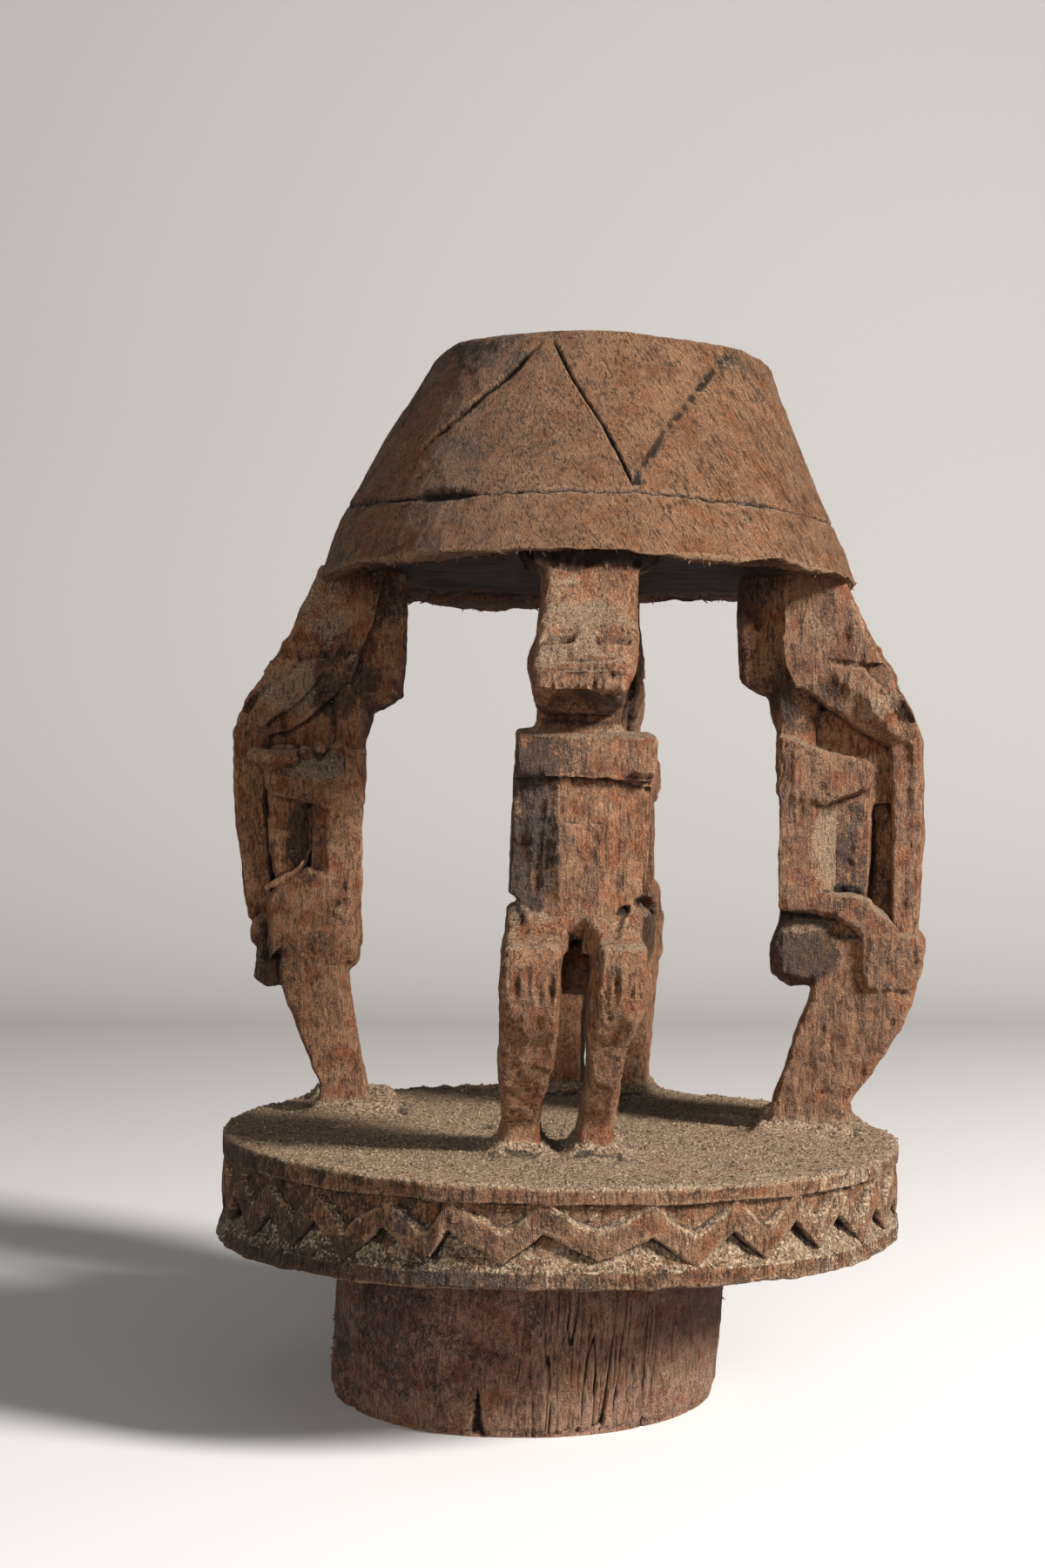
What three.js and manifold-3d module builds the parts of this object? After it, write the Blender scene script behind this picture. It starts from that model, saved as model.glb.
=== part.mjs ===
// A bowl carried by four seated caryatid figures on a round platform and a stump foot.
// The real one is carved from a single block of wood. Here each carved member is a solid of its own,
// with a hairline seam to its neighbours. Millimetres, +Z up, origin at the middle of the foot's base.
import * as THREE from "three";
import { mergeVertices } from "three/addons/utils/BufferGeometryUtils.js";
import Module from "manifold-3d";

const wasm = await Module();
wasm.setup();

// Seam between neighbouring members, how far a cutter stands out of what it cuts, and how close two corners
// lie to count as one
const seam = 0.3;
const overshoot = 2;
const sameCorner = 1e-4;

// Stump foot
const footRadius = 49;
const footSpread = 0.8;
const footHeight = 42.9;
const footFacets = 24;

// Platform: it stands a little to the right of the foot, and everything on the foot leans that way
const platformShift = 6.6;
const leanDegrees = 1.2;
const platformRadius = 85;
const platformHeight = 21.6;
const upperLip = 3.7;
const lowerLip = 4.3;
const friezePeriods = 28;
const facetsPerPeriod = 4;
const upperPocketHeight = 7;
const upperPocketDepth = 1.8;
const lowerPocketHeight = 7.4;
const lowerPocketDepth = 3.2;
const pocketSpacing = 0.9;

// Ring of figures: its centre lies to the right of the platform's and behind it. Each figure has its place
// round the ring in degrees, how far it faces away from straight out and how far it stands in from the rim.
// Its body is thinner from behind by slim, its hips by hipSlim more. Its legs and hands reach out by legShare
// and handShare of the full length, and the backs of its knees lie further in by kneeIn.
// Its chin bows out, and its head is swayed outwards and to its left.
// Its upper arms are armDepth thick from back to front, its chest stands out further by chestOut, and its
// shoulders and the tip of its hair are lower by shoulderFall and hairFall.
// One figure has lost its beard.
const ringShiftRight = 4.5;
const ringShiftBack = 22;
const figureHeight = 142.6;
const figures = [
  {
    name: "front_figure", bearded: false,
    place: -3.6, facing: 4, inward: 2,
    slim: 0, hipSlim: 0, legShare: 1, handShare: 1, kneeIn: 0, bow: 0, swayOut: 0, swayLeft: 3.6,
    armDepth: 17, chestOut: 0, shoulderFall: 0, hairFall: 0,
  },
  {
    name: "right_figure", bearded: true,
    place: 83, facing: -3, inward: 0,
    slim: 1.5, hipSlim: 1, legShare: 1.07, handShare: 1, kneeIn: 0, bow: 0, swayOut: 0, swayLeft: 0,
    armDepth: 10, chestOut: 0, shoulderFall: 0, hairFall: 3,
  },
  {
    name: "back_figure", bearded: true,
    place: 171.5, facing: 0, inward: 9,
    slim: 3, hipSlim: 1, legShare: 1, handShare: 1, kneeIn: 0, bow: 0, swayOut: 0, swayLeft: 0,
    armDepth: 10, chestOut: 0, shoulderFall: 0, hairFall: 3,
  },
  {
    name: "left_figure", bearded: true,
    place: 260, facing: 15, inward: 0,
    slim: 7, hipSlim: 3, legShare: 0.84, handShare: 0.94, kneeIn: 4.6, bow: 2.8, swayOut: 3.5, swayLeft: 0,
    armDepth: 10, chestOut: 3, shoulderFall: 5.5, hairFall: 8,
  },
];

// Bowl: a cone with its wide end down, hollowed from above
const rimRadius = 70.6;
const mouthOuterRadius = 44;
const bowlHeight = 55.2;
const bowlSkew = 3.8;
const bowlWall = 8;
const bowlFloor = 13;
const bowlFacets = 60;
const hollowRounding = 9;
const hollowSteps = 3;
const rimOverhang = 3.9;
const lineHeight = 13.5;
const lineWidth = 1.6;
const lineDepth = 1.1;
const waveCount = 6;
const waveTurnDegrees = -20;
const waveMargin = 1.8;
const waveSteps = 4;

// A figure's sections. Distances out are from the plumb line of its back, widths from its middle plane.
const crown = { drop: 0, back: -2.5, front: 15.7, half: 11.8 };
const brow = { drop: 13.6, back: -1.2, front: 21.6, half: 12.4 };
const cheek = { drop: 23.7, back: 0.6, front: 28.4, half: 12.5 };
const jawCorner = { drop: 28.2, back: 3.6, front: 31, half: 12.2 };
const jaw = { drop: 34.2, back: 12, front: 34.8, half: 11.4 };
const lip = { drop: 39.8, back: 22.3, front: 37, half: 9.4 };
const chin = { drop: 43.6, back: 29.5, front: 38, half: 6.8 };
const brokenJaw = { drop: 33.6, back: 13, front: 34.4, half: 9 };
const faceCarving = 1.2;
const slitHeight = 1.4;
const eyeDrop = 20.5;
const eyeInner = 3;
const eyeOuter = 9.5;
const mouthDrop = 28;
const mouthHalf = 6;
const noseTopDrop = 15;
const noseTipDrop = 25.4;
const noseHalf = 2.6;
const noseRise = 1.6;

// Hair, a narrower lobe behind the head
const hairTop = { drop: 0, back: -12.4, front: 2, half: 8.4 };
const hairMiddle = { drop: 13.6, back: -12.7, front: 3, half: 9 };
const hairLow = { drop: 24.4, back: -11.2, front: 5, half: 8.6 };
const hairTip = { drop: 28.4, back: -6, front: 3, half: 6.6 };

// Beard, a strut from the chin down to the hands
const beardBack = 29.8;
const beardFront = 38.1;
const beardHalf = 6.4;
const webHalf = 4;

// Torso with its shoulder block and neck. Heights are above the platform.
const hipTop = 53.9;
const chestBack = 0.2;
const chestFront = 25;
const chestHalf = 9.6;
const waistTaper = 1.4;
const shoulderUnder = 85.4;
const shoulderFrontUnder = 88.6;
const shoulderFrontTop = 95.2;
const shoulderBackTop = 101.2;
const frontFallShare = 0.2;
const underFallShare = 0.8;
const shoulderBack = -0.7;
const shoulderBend = 10;
const shoulderHalf = 17.2;
const neckBack = -1.4;
const neckFront = 11.5;
const neckHalf = 9.6;

// Hips
const hipUnder = 37.5;
const hipBack = -2.8;
const hipFront = 14;
const hipHalf = 16.4;
const hipRounding = 3.4;

// Leg, from the sole to the top of the knee
const sole = { up: 0, back: -3, front: 21.4, inner: 3.4, outer: 15.8 };
const instep = { up: 3.2, back: -1.2, front: 19, inner: 4.4, outer: 14.6 };
const ankle = { up: 7, back: -0.8, front: 19.2, inner: 4.6, outer: 14.4 };
const shin = { up: 17, back: 2.7, front: 25.8, inner: 4.6, outer: 15.2 };
const calf = { up: 27, back: 6, front: 31.2, inner: 4.4, outer: 15.8 };
const kneeFront = 35;
const kneeBack = 9.6;
const kneeInner = 4;
const kneeOuter = 14.6;
const kneeTop = 49.8;
const kneeTopFront = 31;

// Arm: upper arm beside the torso, forearm over the thigh, hand hanging over the knee
const armOuter = 16.6;
const elbowUnder = 56.5;
const elbowTop = 64;
const wristOut = 24.5;
const wristUnder = 50.4;
const wristTop = 60.8;
const knuckleOut = 33.5;
const handTop = 51.4;
const handUnder = 35.8;
const handBack = 22.4;
const handFront = 39.2;
const handTaper = 3;
const handOuter = 17.2;
const handInner = 6;
const claspedInner = 1.6;
const fingerCount = 4;
const fingerSlot = 1;
const fingerSlotDepth = 2.2;
const fingerSlotTop = 46;

// How far the corners of a section are cut off: more on heads and limbs than on the shoulder block, and on a
// thin member no more than a share of its side
const softCorner = 2.6;
const crispCorner = 1.2;
const cornerShare = 0.3;

// Turns a closed geometry into a solid that can be joined and cut
function solidOf(geometry) {
  const bare = geometry.clone();
  bare.deleteAttribute("normal");
  bare.deleteAttribute("uv");
  const merged = mergeVertices(bare, sameCorner);
  const mesh = new wasm.Mesh({
    numProp: 3,
    vertProperties: new Float32Array(merged.attributes.position.array),
    triVerts: new Uint32Array(merged.index.array),
  });
  return new wasm.Manifold(mesh);
}

function geometryOf(solid) {
  const mesh = solid.getMesh();
  const geometry = new THREE.BufferGeometry();
  geometry.setAttribute("position", new THREE.BufferAttribute(mesh.vertProperties, 3));
  geometry.setIndex(new THREE.BufferAttribute(mesh.triVerts, 1));
  return geometry;
}

// A closed body through rings of points, each ring counter-clockwise seen from the last one's side
function loft(rings) {
  const positions = rings.flat().flatMap((point) => point.toArray());
  const index = [];
  const size = rings[0].length;
  for (let ring = 0; ring + 1 < rings.length; ring += 1) {
    for (let i = 0; i < size; i += 1) {
      const a = ring * size + i;
      const b = ring * size + ((i + 1) % size);
      index.push(a, b, b + size, a, b + size, a + size);
    }
  }
  const top = (rings.length - 1) * size;
  for (let i = 1; i + 1 < size; i += 1) {
    index.push(0, i + 1, i, top, top + i, top + i + 1);
  }
  const geometry = new THREE.BufferGeometry();
  geometry.setAttribute("position", new THREE.Float32BufferAttribute(positions, 3));
  geometry.setIndex(index);
  return geometry;
}

// Corners of a chamfered rectangle, counter-clockwise, grown outwards by grow
function chamferedCorners(lowX, highX, lowY, highY, corner, grow) {
  const cut = Math.min(corner, cornerShare * (highX - lowX), cornerShare * (highY - lowY));
  const [x0, x1, y0, y1] = [lowX - grow, highX + grow, lowY - grow, highY + grow];
  return [
    [x0 + cut, y0],
    [x1 - cut, y0],
    [x1, y0 + cut],
    [x1, y1 - cut],
    [x1 - cut, y1],
    [x0 + cut, y1],
    [x0, y1 - cut],
    [x0, y0 + cut],
  ];
}

// A member with level sections: each has its height, its back and front, and its two sides
function uprightMember(sections, grow, corner = softCorner) {
  const last = sections.length - 1;
  const rings = sections.map((section, i) => {
    const z = section.up + (i === last ? grow : 0) - (i === 0 ? grow : 0);
    const { left, right, back, front } = section;
    const corners = chamferedCorners(left, right, -front, -back, corner, grow);
    return corners.map(([x, y]) => new THREE.Vector3(x, y, z));
  });
  return solidOf(loft(rings));
}

// A member with plumb sections: each has its distance out, its underside and top, and its two sides
function reachingMember(sections, grow, corner = softCorner) {
  const last = sections.length - 1;
  const rings = sections.map((section, i) => {
    const out = section.out + (i === last ? grow : 0) - (i === 0 ? grow : 0);
    const { left, right, under, top } = section;
    const corners = chamferedCorners(left, right, under, top, corner, grow);
    return corners.map(([x, z]) => new THREE.Vector3(x, -out, z));
  });
  return solidOf(loft(rings));
}

// The two sides of a section of half width half in the middle, or between inner and outer on one side
const middle = (half) => ({ left: -half, right: half });
const onSide = (side, inner, outer) =>
  side > 0 ? { left: inner, right: outer } : { left: -outer, right: -inner };

function block(left, right, back, front, under, top) {
  const geometry = new THREE.BoxGeometry(right - left, front - back, top - under);
  geometry.translate((left + right) / 2, -(back + front) / 2, (under + top) / 2);
  return solidOf(geometry);
}

// A section of the head or hair, hung from the bowl's underside
const hung = (station) => ({
  up: figureHeight - seam - station.drop,
  back: station.back,
  front: station.front,
  ...middle(station.half),
});

const beardedHead = [chin, lip, jaw, jawCorner, cheek, brow, crown];
const beardlessHead = [brokenJaw, jawCorner, cheek, brow, crown];

// How far out the face stands at a given drop below the crown
function faceOut(drop) {
  const stations = [crown, brow, cheek, jawCorner, jaw, lip, chin];
  const next = stations.findIndex((station) => station.drop > drop);
  const above = stations[next - 1];
  const below = stations[next];
  const share = (drop - above.drop) / (below.drop - above.drop);
  return above.front + share * (below.front - above.front);
}

// A level slit across the face
function faceSlit(drop, left, right) {
  const out = faceOut(drop);
  const up = figureHeight - drop;
  return block(left, right, out - faceCarving, out + overshoot, up - slitHeight / 2, up + slitHeight / 2);
}

function nose() {
  const station = (drop, rise) => ({
    up: figureHeight - drop,
    back: faceOut(drop) - overshoot,
    front: faceOut(drop) + rise,
    ...middle(noseHalf),
  });
  return uprightMember([station(noseTipDrop, noseRise), station(noseTopDrop, 0)], 0);
}

function headForm(hasBeard, grow) {
  return uprightMember((hasBeard ? beardedHead : beardlessHead).map(hung), grow);
}

function head(hasBeard) {
  return headForm(hasBeard, 0)
    .add(nose())
    .subtract(faceSlit(eyeDrop, eyeInner, eyeOuter))
    .subtract(faceSlit(eyeDrop, -eyeOuter, -eyeInner))
    .subtract(faceSlit(mouthDrop, -mouthHalf, mouthHalf));
}

// The hair ends lower on some of the figures
function hairForm(fall, grow) {
  const lowered = [hairTip, hairLow].map((station) => ({ ...station, drop: station.drop + fall }));
  return uprightMember([...lowered, hairMiddle, hairTop].map(hung), grow);
}

// A strut, joined to the chest and the neck by a thinner web of uncut wood
function beardForm(figure, grow) {
  const { shoulderFall } = figure;
  const strut = { back: beardBack, front: beardFront, ...middle(beardHalf) };
  const tip = { ...strut, up: handTop + seam };
  const root = { ...strut, up: figureHeight - 2 * seam - chin.drop };
  const thin = { front: beardBack + overshoot, ...middle(webHalf) };
  const low = { ...thin, back: chestFront - overshoot };
  const high = { ...thin, back: neckFront };
  const throatUnder = shoulderFrontTop - shoulderFall;
  const throatTop = figureHeight - jaw.drop;
  const lowWeb = uprightMember([{ ...low, up: hipTop + seam }, { ...low, up: throatUnder }], grow);
  const highWeb = uprightMember([{ ...high, up: throatUnder - overshoot }, { ...high, up: throatTop }], grow);
  const web = lowWeb.add(highWeb).subtract(torsoForm(figure, seam)).subtract(headForm(true, seam));
  return uprightMember([tip, root], grow).add(web);
}

// The neck runs up into the head, whose own form then trims it
function torsoForm({ chestOut, shoulderFall }, grow) {
  const front = chestFront + chestOut;
  const frontUnder = shoulderFrontUnder - underFallShare * shoulderFall;
  const under = shoulderUnder - underFallShare * shoulderFall;
  const chest = uprightMember(
    [
      { up: hipTop + seam, back: chestBack + waistTaper, front: front - waistTaper, ...middle(chestHalf) },
      { up: elbowTop, back: chestBack, front, ...middle(chestHalf) },
      { up: frontUnder + seam, back: chestBack, front, ...middle(chestHalf) },
    ],
    grow,
  );
  const wide = middle(shoulderHalf);
  const backTop = shoulderBackTop - shoulderFall;
  const frontTop = shoulderFrontTop - frontFallShare * shoulderFall;
  const shoulders = reachingMember(
    [
      { out: shoulderBack, under, top: backTop, ...wide },
      { out: shoulderBend, under, top: (backTop + frontTop) / 2, ...wide },
      { out: front, under: frontUnder, top: frontTop, ...wide },
    ],
    grow,
    crispCorner,
  );
  const column = { back: neckBack, front: neckFront, ...middle(neckHalf) };
  const neckUnder = shoulderFrontTop - overshoot;
  const neckTop = figureHeight - jawCorner.drop;
  const neck = uprightMember([{ ...column, up: neckUnder }, { ...column, up: neckTop }], grow);
  return chest.add(shoulders).add(neck);
}

function hipForm(hipSlim, grow) {
  const wide = middle(hipHalf);
  const back = hipBack + hipSlim;
  const rounded = { back: back + hipRounding, front: hipFront, ...wide };
  const full = { back, front: hipFront, ...wide };
  return uprightMember(
    [
      { ...rounded, up: hipUnder },
      { ...full, up: hipUnder + hipRounding },
      { ...full, up: hipTop - hipRounding },
      { ...rounded, up: hipTop },
    ],
    grow,
  );
}

function legForm(side, { legShare, kneeIn }, grow) {
  const low = [sole, instep, ankle, shin, calf].map((station) => ({
    back: station.back - (kneeIn * station.up) / hipUnder,
    front: station.front * legShare,
    up: station.up + seam,
    ...onSide(side, station.inner, station.outer),
  }));
  const knee = onSide(side, kneeInner, kneeOuter);
  const thighBack = hipFront + seam;
  const front = kneeFront * legShare;
  return uprightMember(
    [
      ...low,
      { up: hipUnder - seam, back: kneeBack - kneeIn, front, ...knee },
      { up: hipUnder, back: thighBack, front, ...knee },
      { up: kneeTop, back: thighBack, front: kneeTopFront * legShare, ...knee },
    ],
    grow,
  );
}

function armForm({ armDepth, shoulderFall }, side, inner, tip) {
  const beside = onSide(side, chestHalf + seam, armOuter);
  const armTop = shoulderUnder - underFallShare * shoulderFall - seam;
  const upperArm = uprightMember(
    [
      { up: elbowUnder, back: 0, front: armDepth, ...beside },
      { up: armTop, back: 0, front: armDepth, ...beside },
    ],
    0,
  );
  const forearm = reachingMember(
    [
      { out: armDepth / 2, under: elbowUnder, top: elbowTop, ...beside },
      { out: armDepth, under: elbowUnder, top: elbowTop, ...beside },
      { out: wristOut, under: wristUnder, top: wristTop, ...beside },
      { out: knuckleOut, under: handUnder + seam, top: handTop, ...onSide(side, handInner, handOuter) },
    ],
    0,
  );
  const palm = onSide(side, inner, handOuter);
  const hand = uprightMember(
    [
      { up: handUnder, back: handBack + handTaper, front: tip - handTaper, ...palm },
      { up: (handUnder + handTop) / 2, back: handBack, front: tip, ...palm },
      { up: handTop, back: handBack, front: tip, ...palm },
    ],
    0,
  );
  return upperArm.add(forearm).add(hand);
}

// Slots between the fingers, cut into the front of the hand
function cutFingers(arm, side, inner, tip) {
  let result = arm;
  const pitch = (handOuter - inner) / fingerCount;
  for (let finger = 1; finger < fingerCount; finger += 1) {
    const across = inner + finger * pitch;
    const { left, right } = onSide(side, across - fingerSlot / 2, across + fingerSlot / 2);
    result = result.subtract(
      block(left, right, tip - fingerSlotDepth, tip + overshoot, handUnder - overshoot, fingerSlotTop),
    );
  }
  return result;
}

// One figure's members by name
function figureMembers(figure) {
  const { bearded: hasBeard, hipSlim, handShare, hairFall } = figure;
  const hair = hairForm(hairFall, 0).subtract(headForm(hasBeard, seam));
  const torso = torsoForm(figure, 0).subtract(headForm(hasBeard, seam)).subtract(hairForm(hairFall, seam));
  const members = { head: head(hasBeard), hair, torso, hips: hipForm(hipSlim, 0) };
  if (hasBeard) {
    members.beard = beardForm(figure, 0);
  }
  const inner = hasBeard ? claspedInner : handInner;
  const tip = handFront * handShare;
  for (const [label, side] of [["left", 1], ["right", -1]]) {
    let arm = armForm(figure, side, inner, tip)
      .subtract(torsoForm(figure, seam))
      .subtract(hipForm(hipSlim, seam))
      .subtract(legForm(side, figure, seam));
    if (hasBeard) {
      arm = arm.subtract(beardForm(figure, seam));
    }
    members[`${label}_arm`] = cutFingers(arm, side, inner, tip);
    members[`${label}_leg`] = legForm(side, figure, 0);
  }
  return members;
}

// The platform's blank, a plain disc
function disc(grow) {
  const height = platformHeight + 2 * grow;
  const geometry = new THREE.CylinderGeometry(
    platformRadius + grow,
    platformRadius + grow,
    height,
    friezePeriods * facetsPerPeriod,
  );
  geometry.rotateX(Math.PI / 2);
  geometry.translate(0, 0, platformHeight / 2);
  return geometry;
}

// A three-cornered pocket in the platform's edge: its base lies along a lip, its tip in the frieze
function pocket(angle, baseUp, tipUp, depth) {
  const halfBase = (Math.PI * platformRadius) / friezePeriods - pocketSpacing / 2;
  const corners = [
    new THREE.Vector2(-halfBase, baseUp),
    new THREE.Vector2(halfBase, baseUp),
    new THREE.Vector2(0, tipUp),
  ];
  const geometry = new THREE.ExtrudeGeometry(new THREE.Shape(corners), {
    depth: depth + overshoot,
    bevelEnabled: false,
  });
  geometry.rotateX(Math.PI / 2);
  geometry.translate(0, depth - platformRadius, 0);
  geometry.rotateZ(angle);
  return solidOf(geometry);
}

// The band between the lips keeps a raised zigzag, left standing between two rows of pockets
function platform() {
  const cuts = [];
  const bandTop = platformHeight - upperLip;
  for (let i = 0; i < friezePeriods; i += 1) {
    const period = (2 * Math.PI) / friezePeriods;
    cuts.push(pocket(i * period, bandTop, bandTop - upperPocketHeight, upperPocketDepth));
    cuts.push(pocket((i + 0.5) * period, lowerLip, lowerLip + lowerPocketHeight, lowerPocketDepth));
  }
  return solidOf(disc(0)).subtract(wasm.Manifold.union(cuts));
}

const bowlRadiusAt = (up) => rimRadius + ((mouthOuterRadius - rimRadius) * up) / bowlHeight;

// A furrow cut along one stroke of the incised zigzag, following the cone
function stroke(fromAngle, toAngle, fromUp, toUp) {
  const rings = [];
  for (let step = 0; step <= waveSteps; step += 1) {
    const share = step / waveSteps;
    const angle = fromAngle + share * (toAngle - fromAngle);
    const up = fromUp + share * (toUp - fromUp);
    const outwards = new THREE.Vector3(Math.sin(angle), -Math.cos(angle), 0);
    const across = new THREE.Vector3(Math.cos(angle), Math.sin(angle), 0);
    const surface = outwards.clone().multiplyScalar(bowlRadiusAt(up)).setZ(up);
    const edge = surface.clone().addScaledVector(outwards, lineDepth);
    const left = edge.clone().addScaledVector(across, -lineWidth);
    const right = edge.clone().addScaledVector(across, lineWidth);
    const bottom = surface.clone().addScaledVector(outwards, -lineDepth);
    rings.push([left, right, bottom]);
  }
  return solidOf(loft(rings));
}

function bowl() {
  const mouthRadius = mouthOuterRadius - bowlWall;
  const profile = [
    new THREE.Vector2(0, 0),
    new THREE.Vector2(rimRadius, 0),
    new THREE.Vector2(bowlRadiusAt(lineHeight - lineWidth / 2), lineHeight - lineWidth / 2),
    new THREE.Vector2(bowlRadiusAt(lineHeight) - lineDepth, lineHeight),
    new THREE.Vector2(bowlRadiusAt(lineHeight + lineWidth / 2), lineHeight + lineWidth / 2),
    new THREE.Vector2(mouthOuterRadius, bowlHeight),
    new THREE.Vector2(mouthRadius, bowlHeight),
  ];
  for (let step = 0; step <= hollowSteps; step += 1) {
    const angle = (step / hollowSteps) * (Math.PI / 2);
    const out = mouthRadius - hollowRounding * (1 - Math.cos(angle));
    const up = bowlFloor + hollowRounding * (1 - Math.sin(angle));
    profile.push(new THREE.Vector2(out, up));
  }
  profile.push(new THREE.Vector2(0, bowlFloor));
  const blank = new THREE.LatheGeometry(profile, bowlFacets);
  blank.rotateX(Math.PI / 2);
  const strokes = [];
  const halfWave = Math.PI / waveCount;
  for (let i = 0; i < waveCount; i += 1) {
    const top = THREE.MathUtils.degToRad(waveTurnDegrees) + 2 * i * halfWave;
    const low = lineHeight + waveMargin;
    const high = bowlHeight - waveMargin;
    strokes.push(stroke(top - halfWave, top, low, high));
    strokes.push(stroke(top + halfWave, top, low, high));
  }
  const carved = geometryOf(solidOf(blank).subtract(wasm.Manifold.union(strokes)));
  carved.applyMatrix4(new THREE.Matrix4().makeShear(0, 0, 0, 0, bowlSkew / bowlHeight, 0));
  return solidOf(carved);
}

// The foot's top is cut to the leaning platform that stands on it
function foot(leaning) {
  const blank = new THREE.CylinderGeometry(
    footRadius,
    footRadius + footSpread,
    footHeight + platformHeight / 2,
    footFacets,
  );
  blank.rotateX(Math.PI / 2);
  blank.translate(0, 0, (footHeight + platformHeight / 2) / 2);
  return solidOf(blank).subtract(solidOf(disc(seam).applyMatrix4(leaning.matrix)));
}

// Wood of each member: warm brown above, greyer on the platform and darker on the foot
const woods = {
  figure: { color: "#835a40", roughness: 0.78 },
  bowl: { color: "#8c6447", roughness: 0.8 },
  platform: { color: "#8a6e52", roughness: 0.88 },
  foot: { color: "#5a4538", roughness: 0.86 },
};

function piece(name, geometry, wood) {
  const material = new THREE.MeshStandardMaterial({ ...woods[wood], metalness: 0 });
  const mesh = new THREE.Mesh(geometry, material);
  mesh.name = name;
  return mesh;
}

const object = new THREE.Group();
const leaning = new THREE.Group();
leaning.position.set(platformShift, 0, footHeight);
leaning.rotation.y = THREE.MathUtils.degToRad(leanDegrees);
leaning.updateMatrix();
object.add(piece("foot", geometryOf(foot(leaning)), "foot"), leaning);
leaning.add(piece("platform", geometryOf(platform()), "platform"));

const ring = new THREE.Group();
ring.position.set(ringShiftRight, ringShiftBack, platformHeight);
leaning.add(ring);

// Thins a body from behind: its back moves out by slim, its chest front stays, and the rest follows evenly.
// Bows the chin and beard outwards: most at the chin's height, not at all at the hands or the crown.
function reshape(geometry, slim, bow) {
  const position = geometry.attributes.position;
  for (let i = 0; i < position.count; i += 1) {
    const out = -position.getY(i);
    const backShare = THREE.MathUtils.clamp(1 - out / chestFront, 0, 1);
    const frontShare = THREE.MathUtils.clamp((out - chestFront) / (beardBack - chestFront), 0, 1);
    const climb = THREE.MathUtils.clamp((position.getZ(i) - handTop) / (figureHeight - handTop), 0, 1);
    position.setY(i, -(out + slim * backShare + bow * frontShare * Math.sin(Math.PI * climb)));
  }
  return geometry;
}

// Each figure turns about a plumb line through the middle of its chest, and sways level by level
for (const figure of figures) {
  const placed = new THREE.Group();
  placed.rotation.z = THREE.MathUtils.degToRad(figure.place);
  const facing = new THREE.Group();
  const chestMiddle = (chestBack + chestFront) / 2;
  const backLine = rimRadius - rimOverhang - crown.front - figure.inward;
  facing.position.y = -backLine - chestMiddle;
  facing.rotation.z = THREE.MathUtils.degToRad(figure.facing);
  const { swayOut, swayLeft } = figure;
  const sway = new THREE.Matrix4()
    .makeShear(0, 0, 0, 0, swayLeft / figureHeight, -swayOut / figureHeight)
    .premultiply(new THREE.Matrix4().makeTranslation(0, chestMiddle, 0));
  for (const [member, solid] of Object.entries(figureMembers(figure))) {
    const geometry = reshape(geometryOf(solid), figure.slim, figure.bow).applyMatrix4(sway);
    facing.add(piece(`${figure.name}_${member}`, geometry, "figure"));
  }
  placed.add(facing);
  ring.add(placed);
}

const carriedBowl = piece("bowl", geometryOf(bowl()), "bowl");
carriedBowl.position.z = figureHeight;
ring.add(carriedBowl);

export default object;
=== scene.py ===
import math

import bmesh
import bpy
import numpy as np
import openvdb
from mathutils import Matrix, kdtree


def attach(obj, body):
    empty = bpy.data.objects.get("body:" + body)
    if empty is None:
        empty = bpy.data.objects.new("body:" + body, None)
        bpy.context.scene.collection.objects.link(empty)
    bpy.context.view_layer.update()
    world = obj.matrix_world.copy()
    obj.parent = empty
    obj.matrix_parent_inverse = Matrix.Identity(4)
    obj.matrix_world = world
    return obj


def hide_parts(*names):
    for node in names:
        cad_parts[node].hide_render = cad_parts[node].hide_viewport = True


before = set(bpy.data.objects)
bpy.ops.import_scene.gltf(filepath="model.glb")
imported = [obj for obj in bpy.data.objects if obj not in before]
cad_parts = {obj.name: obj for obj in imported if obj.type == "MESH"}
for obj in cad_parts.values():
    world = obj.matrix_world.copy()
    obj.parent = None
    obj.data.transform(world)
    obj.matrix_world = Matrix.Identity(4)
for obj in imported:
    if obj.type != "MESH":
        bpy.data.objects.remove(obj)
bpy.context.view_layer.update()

METRES = 0.001

# Driving sizes, as in the frame
FOOT_RADIUS = 49.0
FOOT_HEIGHT = 42.9
PLATFORM_SHIFT = 6.6
LEAN = math.radians(1.2)
PLATFORM_RADIUS = 85.0
PLATFORM_HEIGHT = 21.6
UPPER_POCKET = 1.8
LOWER_POCKET = 3.2
UPPER_LIP = 3.7
LOWER_LIP = 4.3
FRIEZE_PERIODS = 28
RING_RIGHT = 4.5
RING_BACK = 22.0
FIGURE_HEIGHT = 142.6
RIM_RADIUS = 70.6
MOUTH_RADIUS = 44.0
BOWL_HEIGHT = 55.2
BOWL_SKEW = 3.8
BOWL_WALL = 8.0
BOWL_FLOOR = 13.0
HOLLOW_ROUNDING = 9.0
LINE_HEIGHT = 13.5
CHEST_BACK = 0.2
CHEST_FRONT = 25.0
HAND_TOP = 51.4
BEARD_BACK = 29.8
RIM_OVERHANG = 3.9
CROWN_FRONT = 15.7

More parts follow.
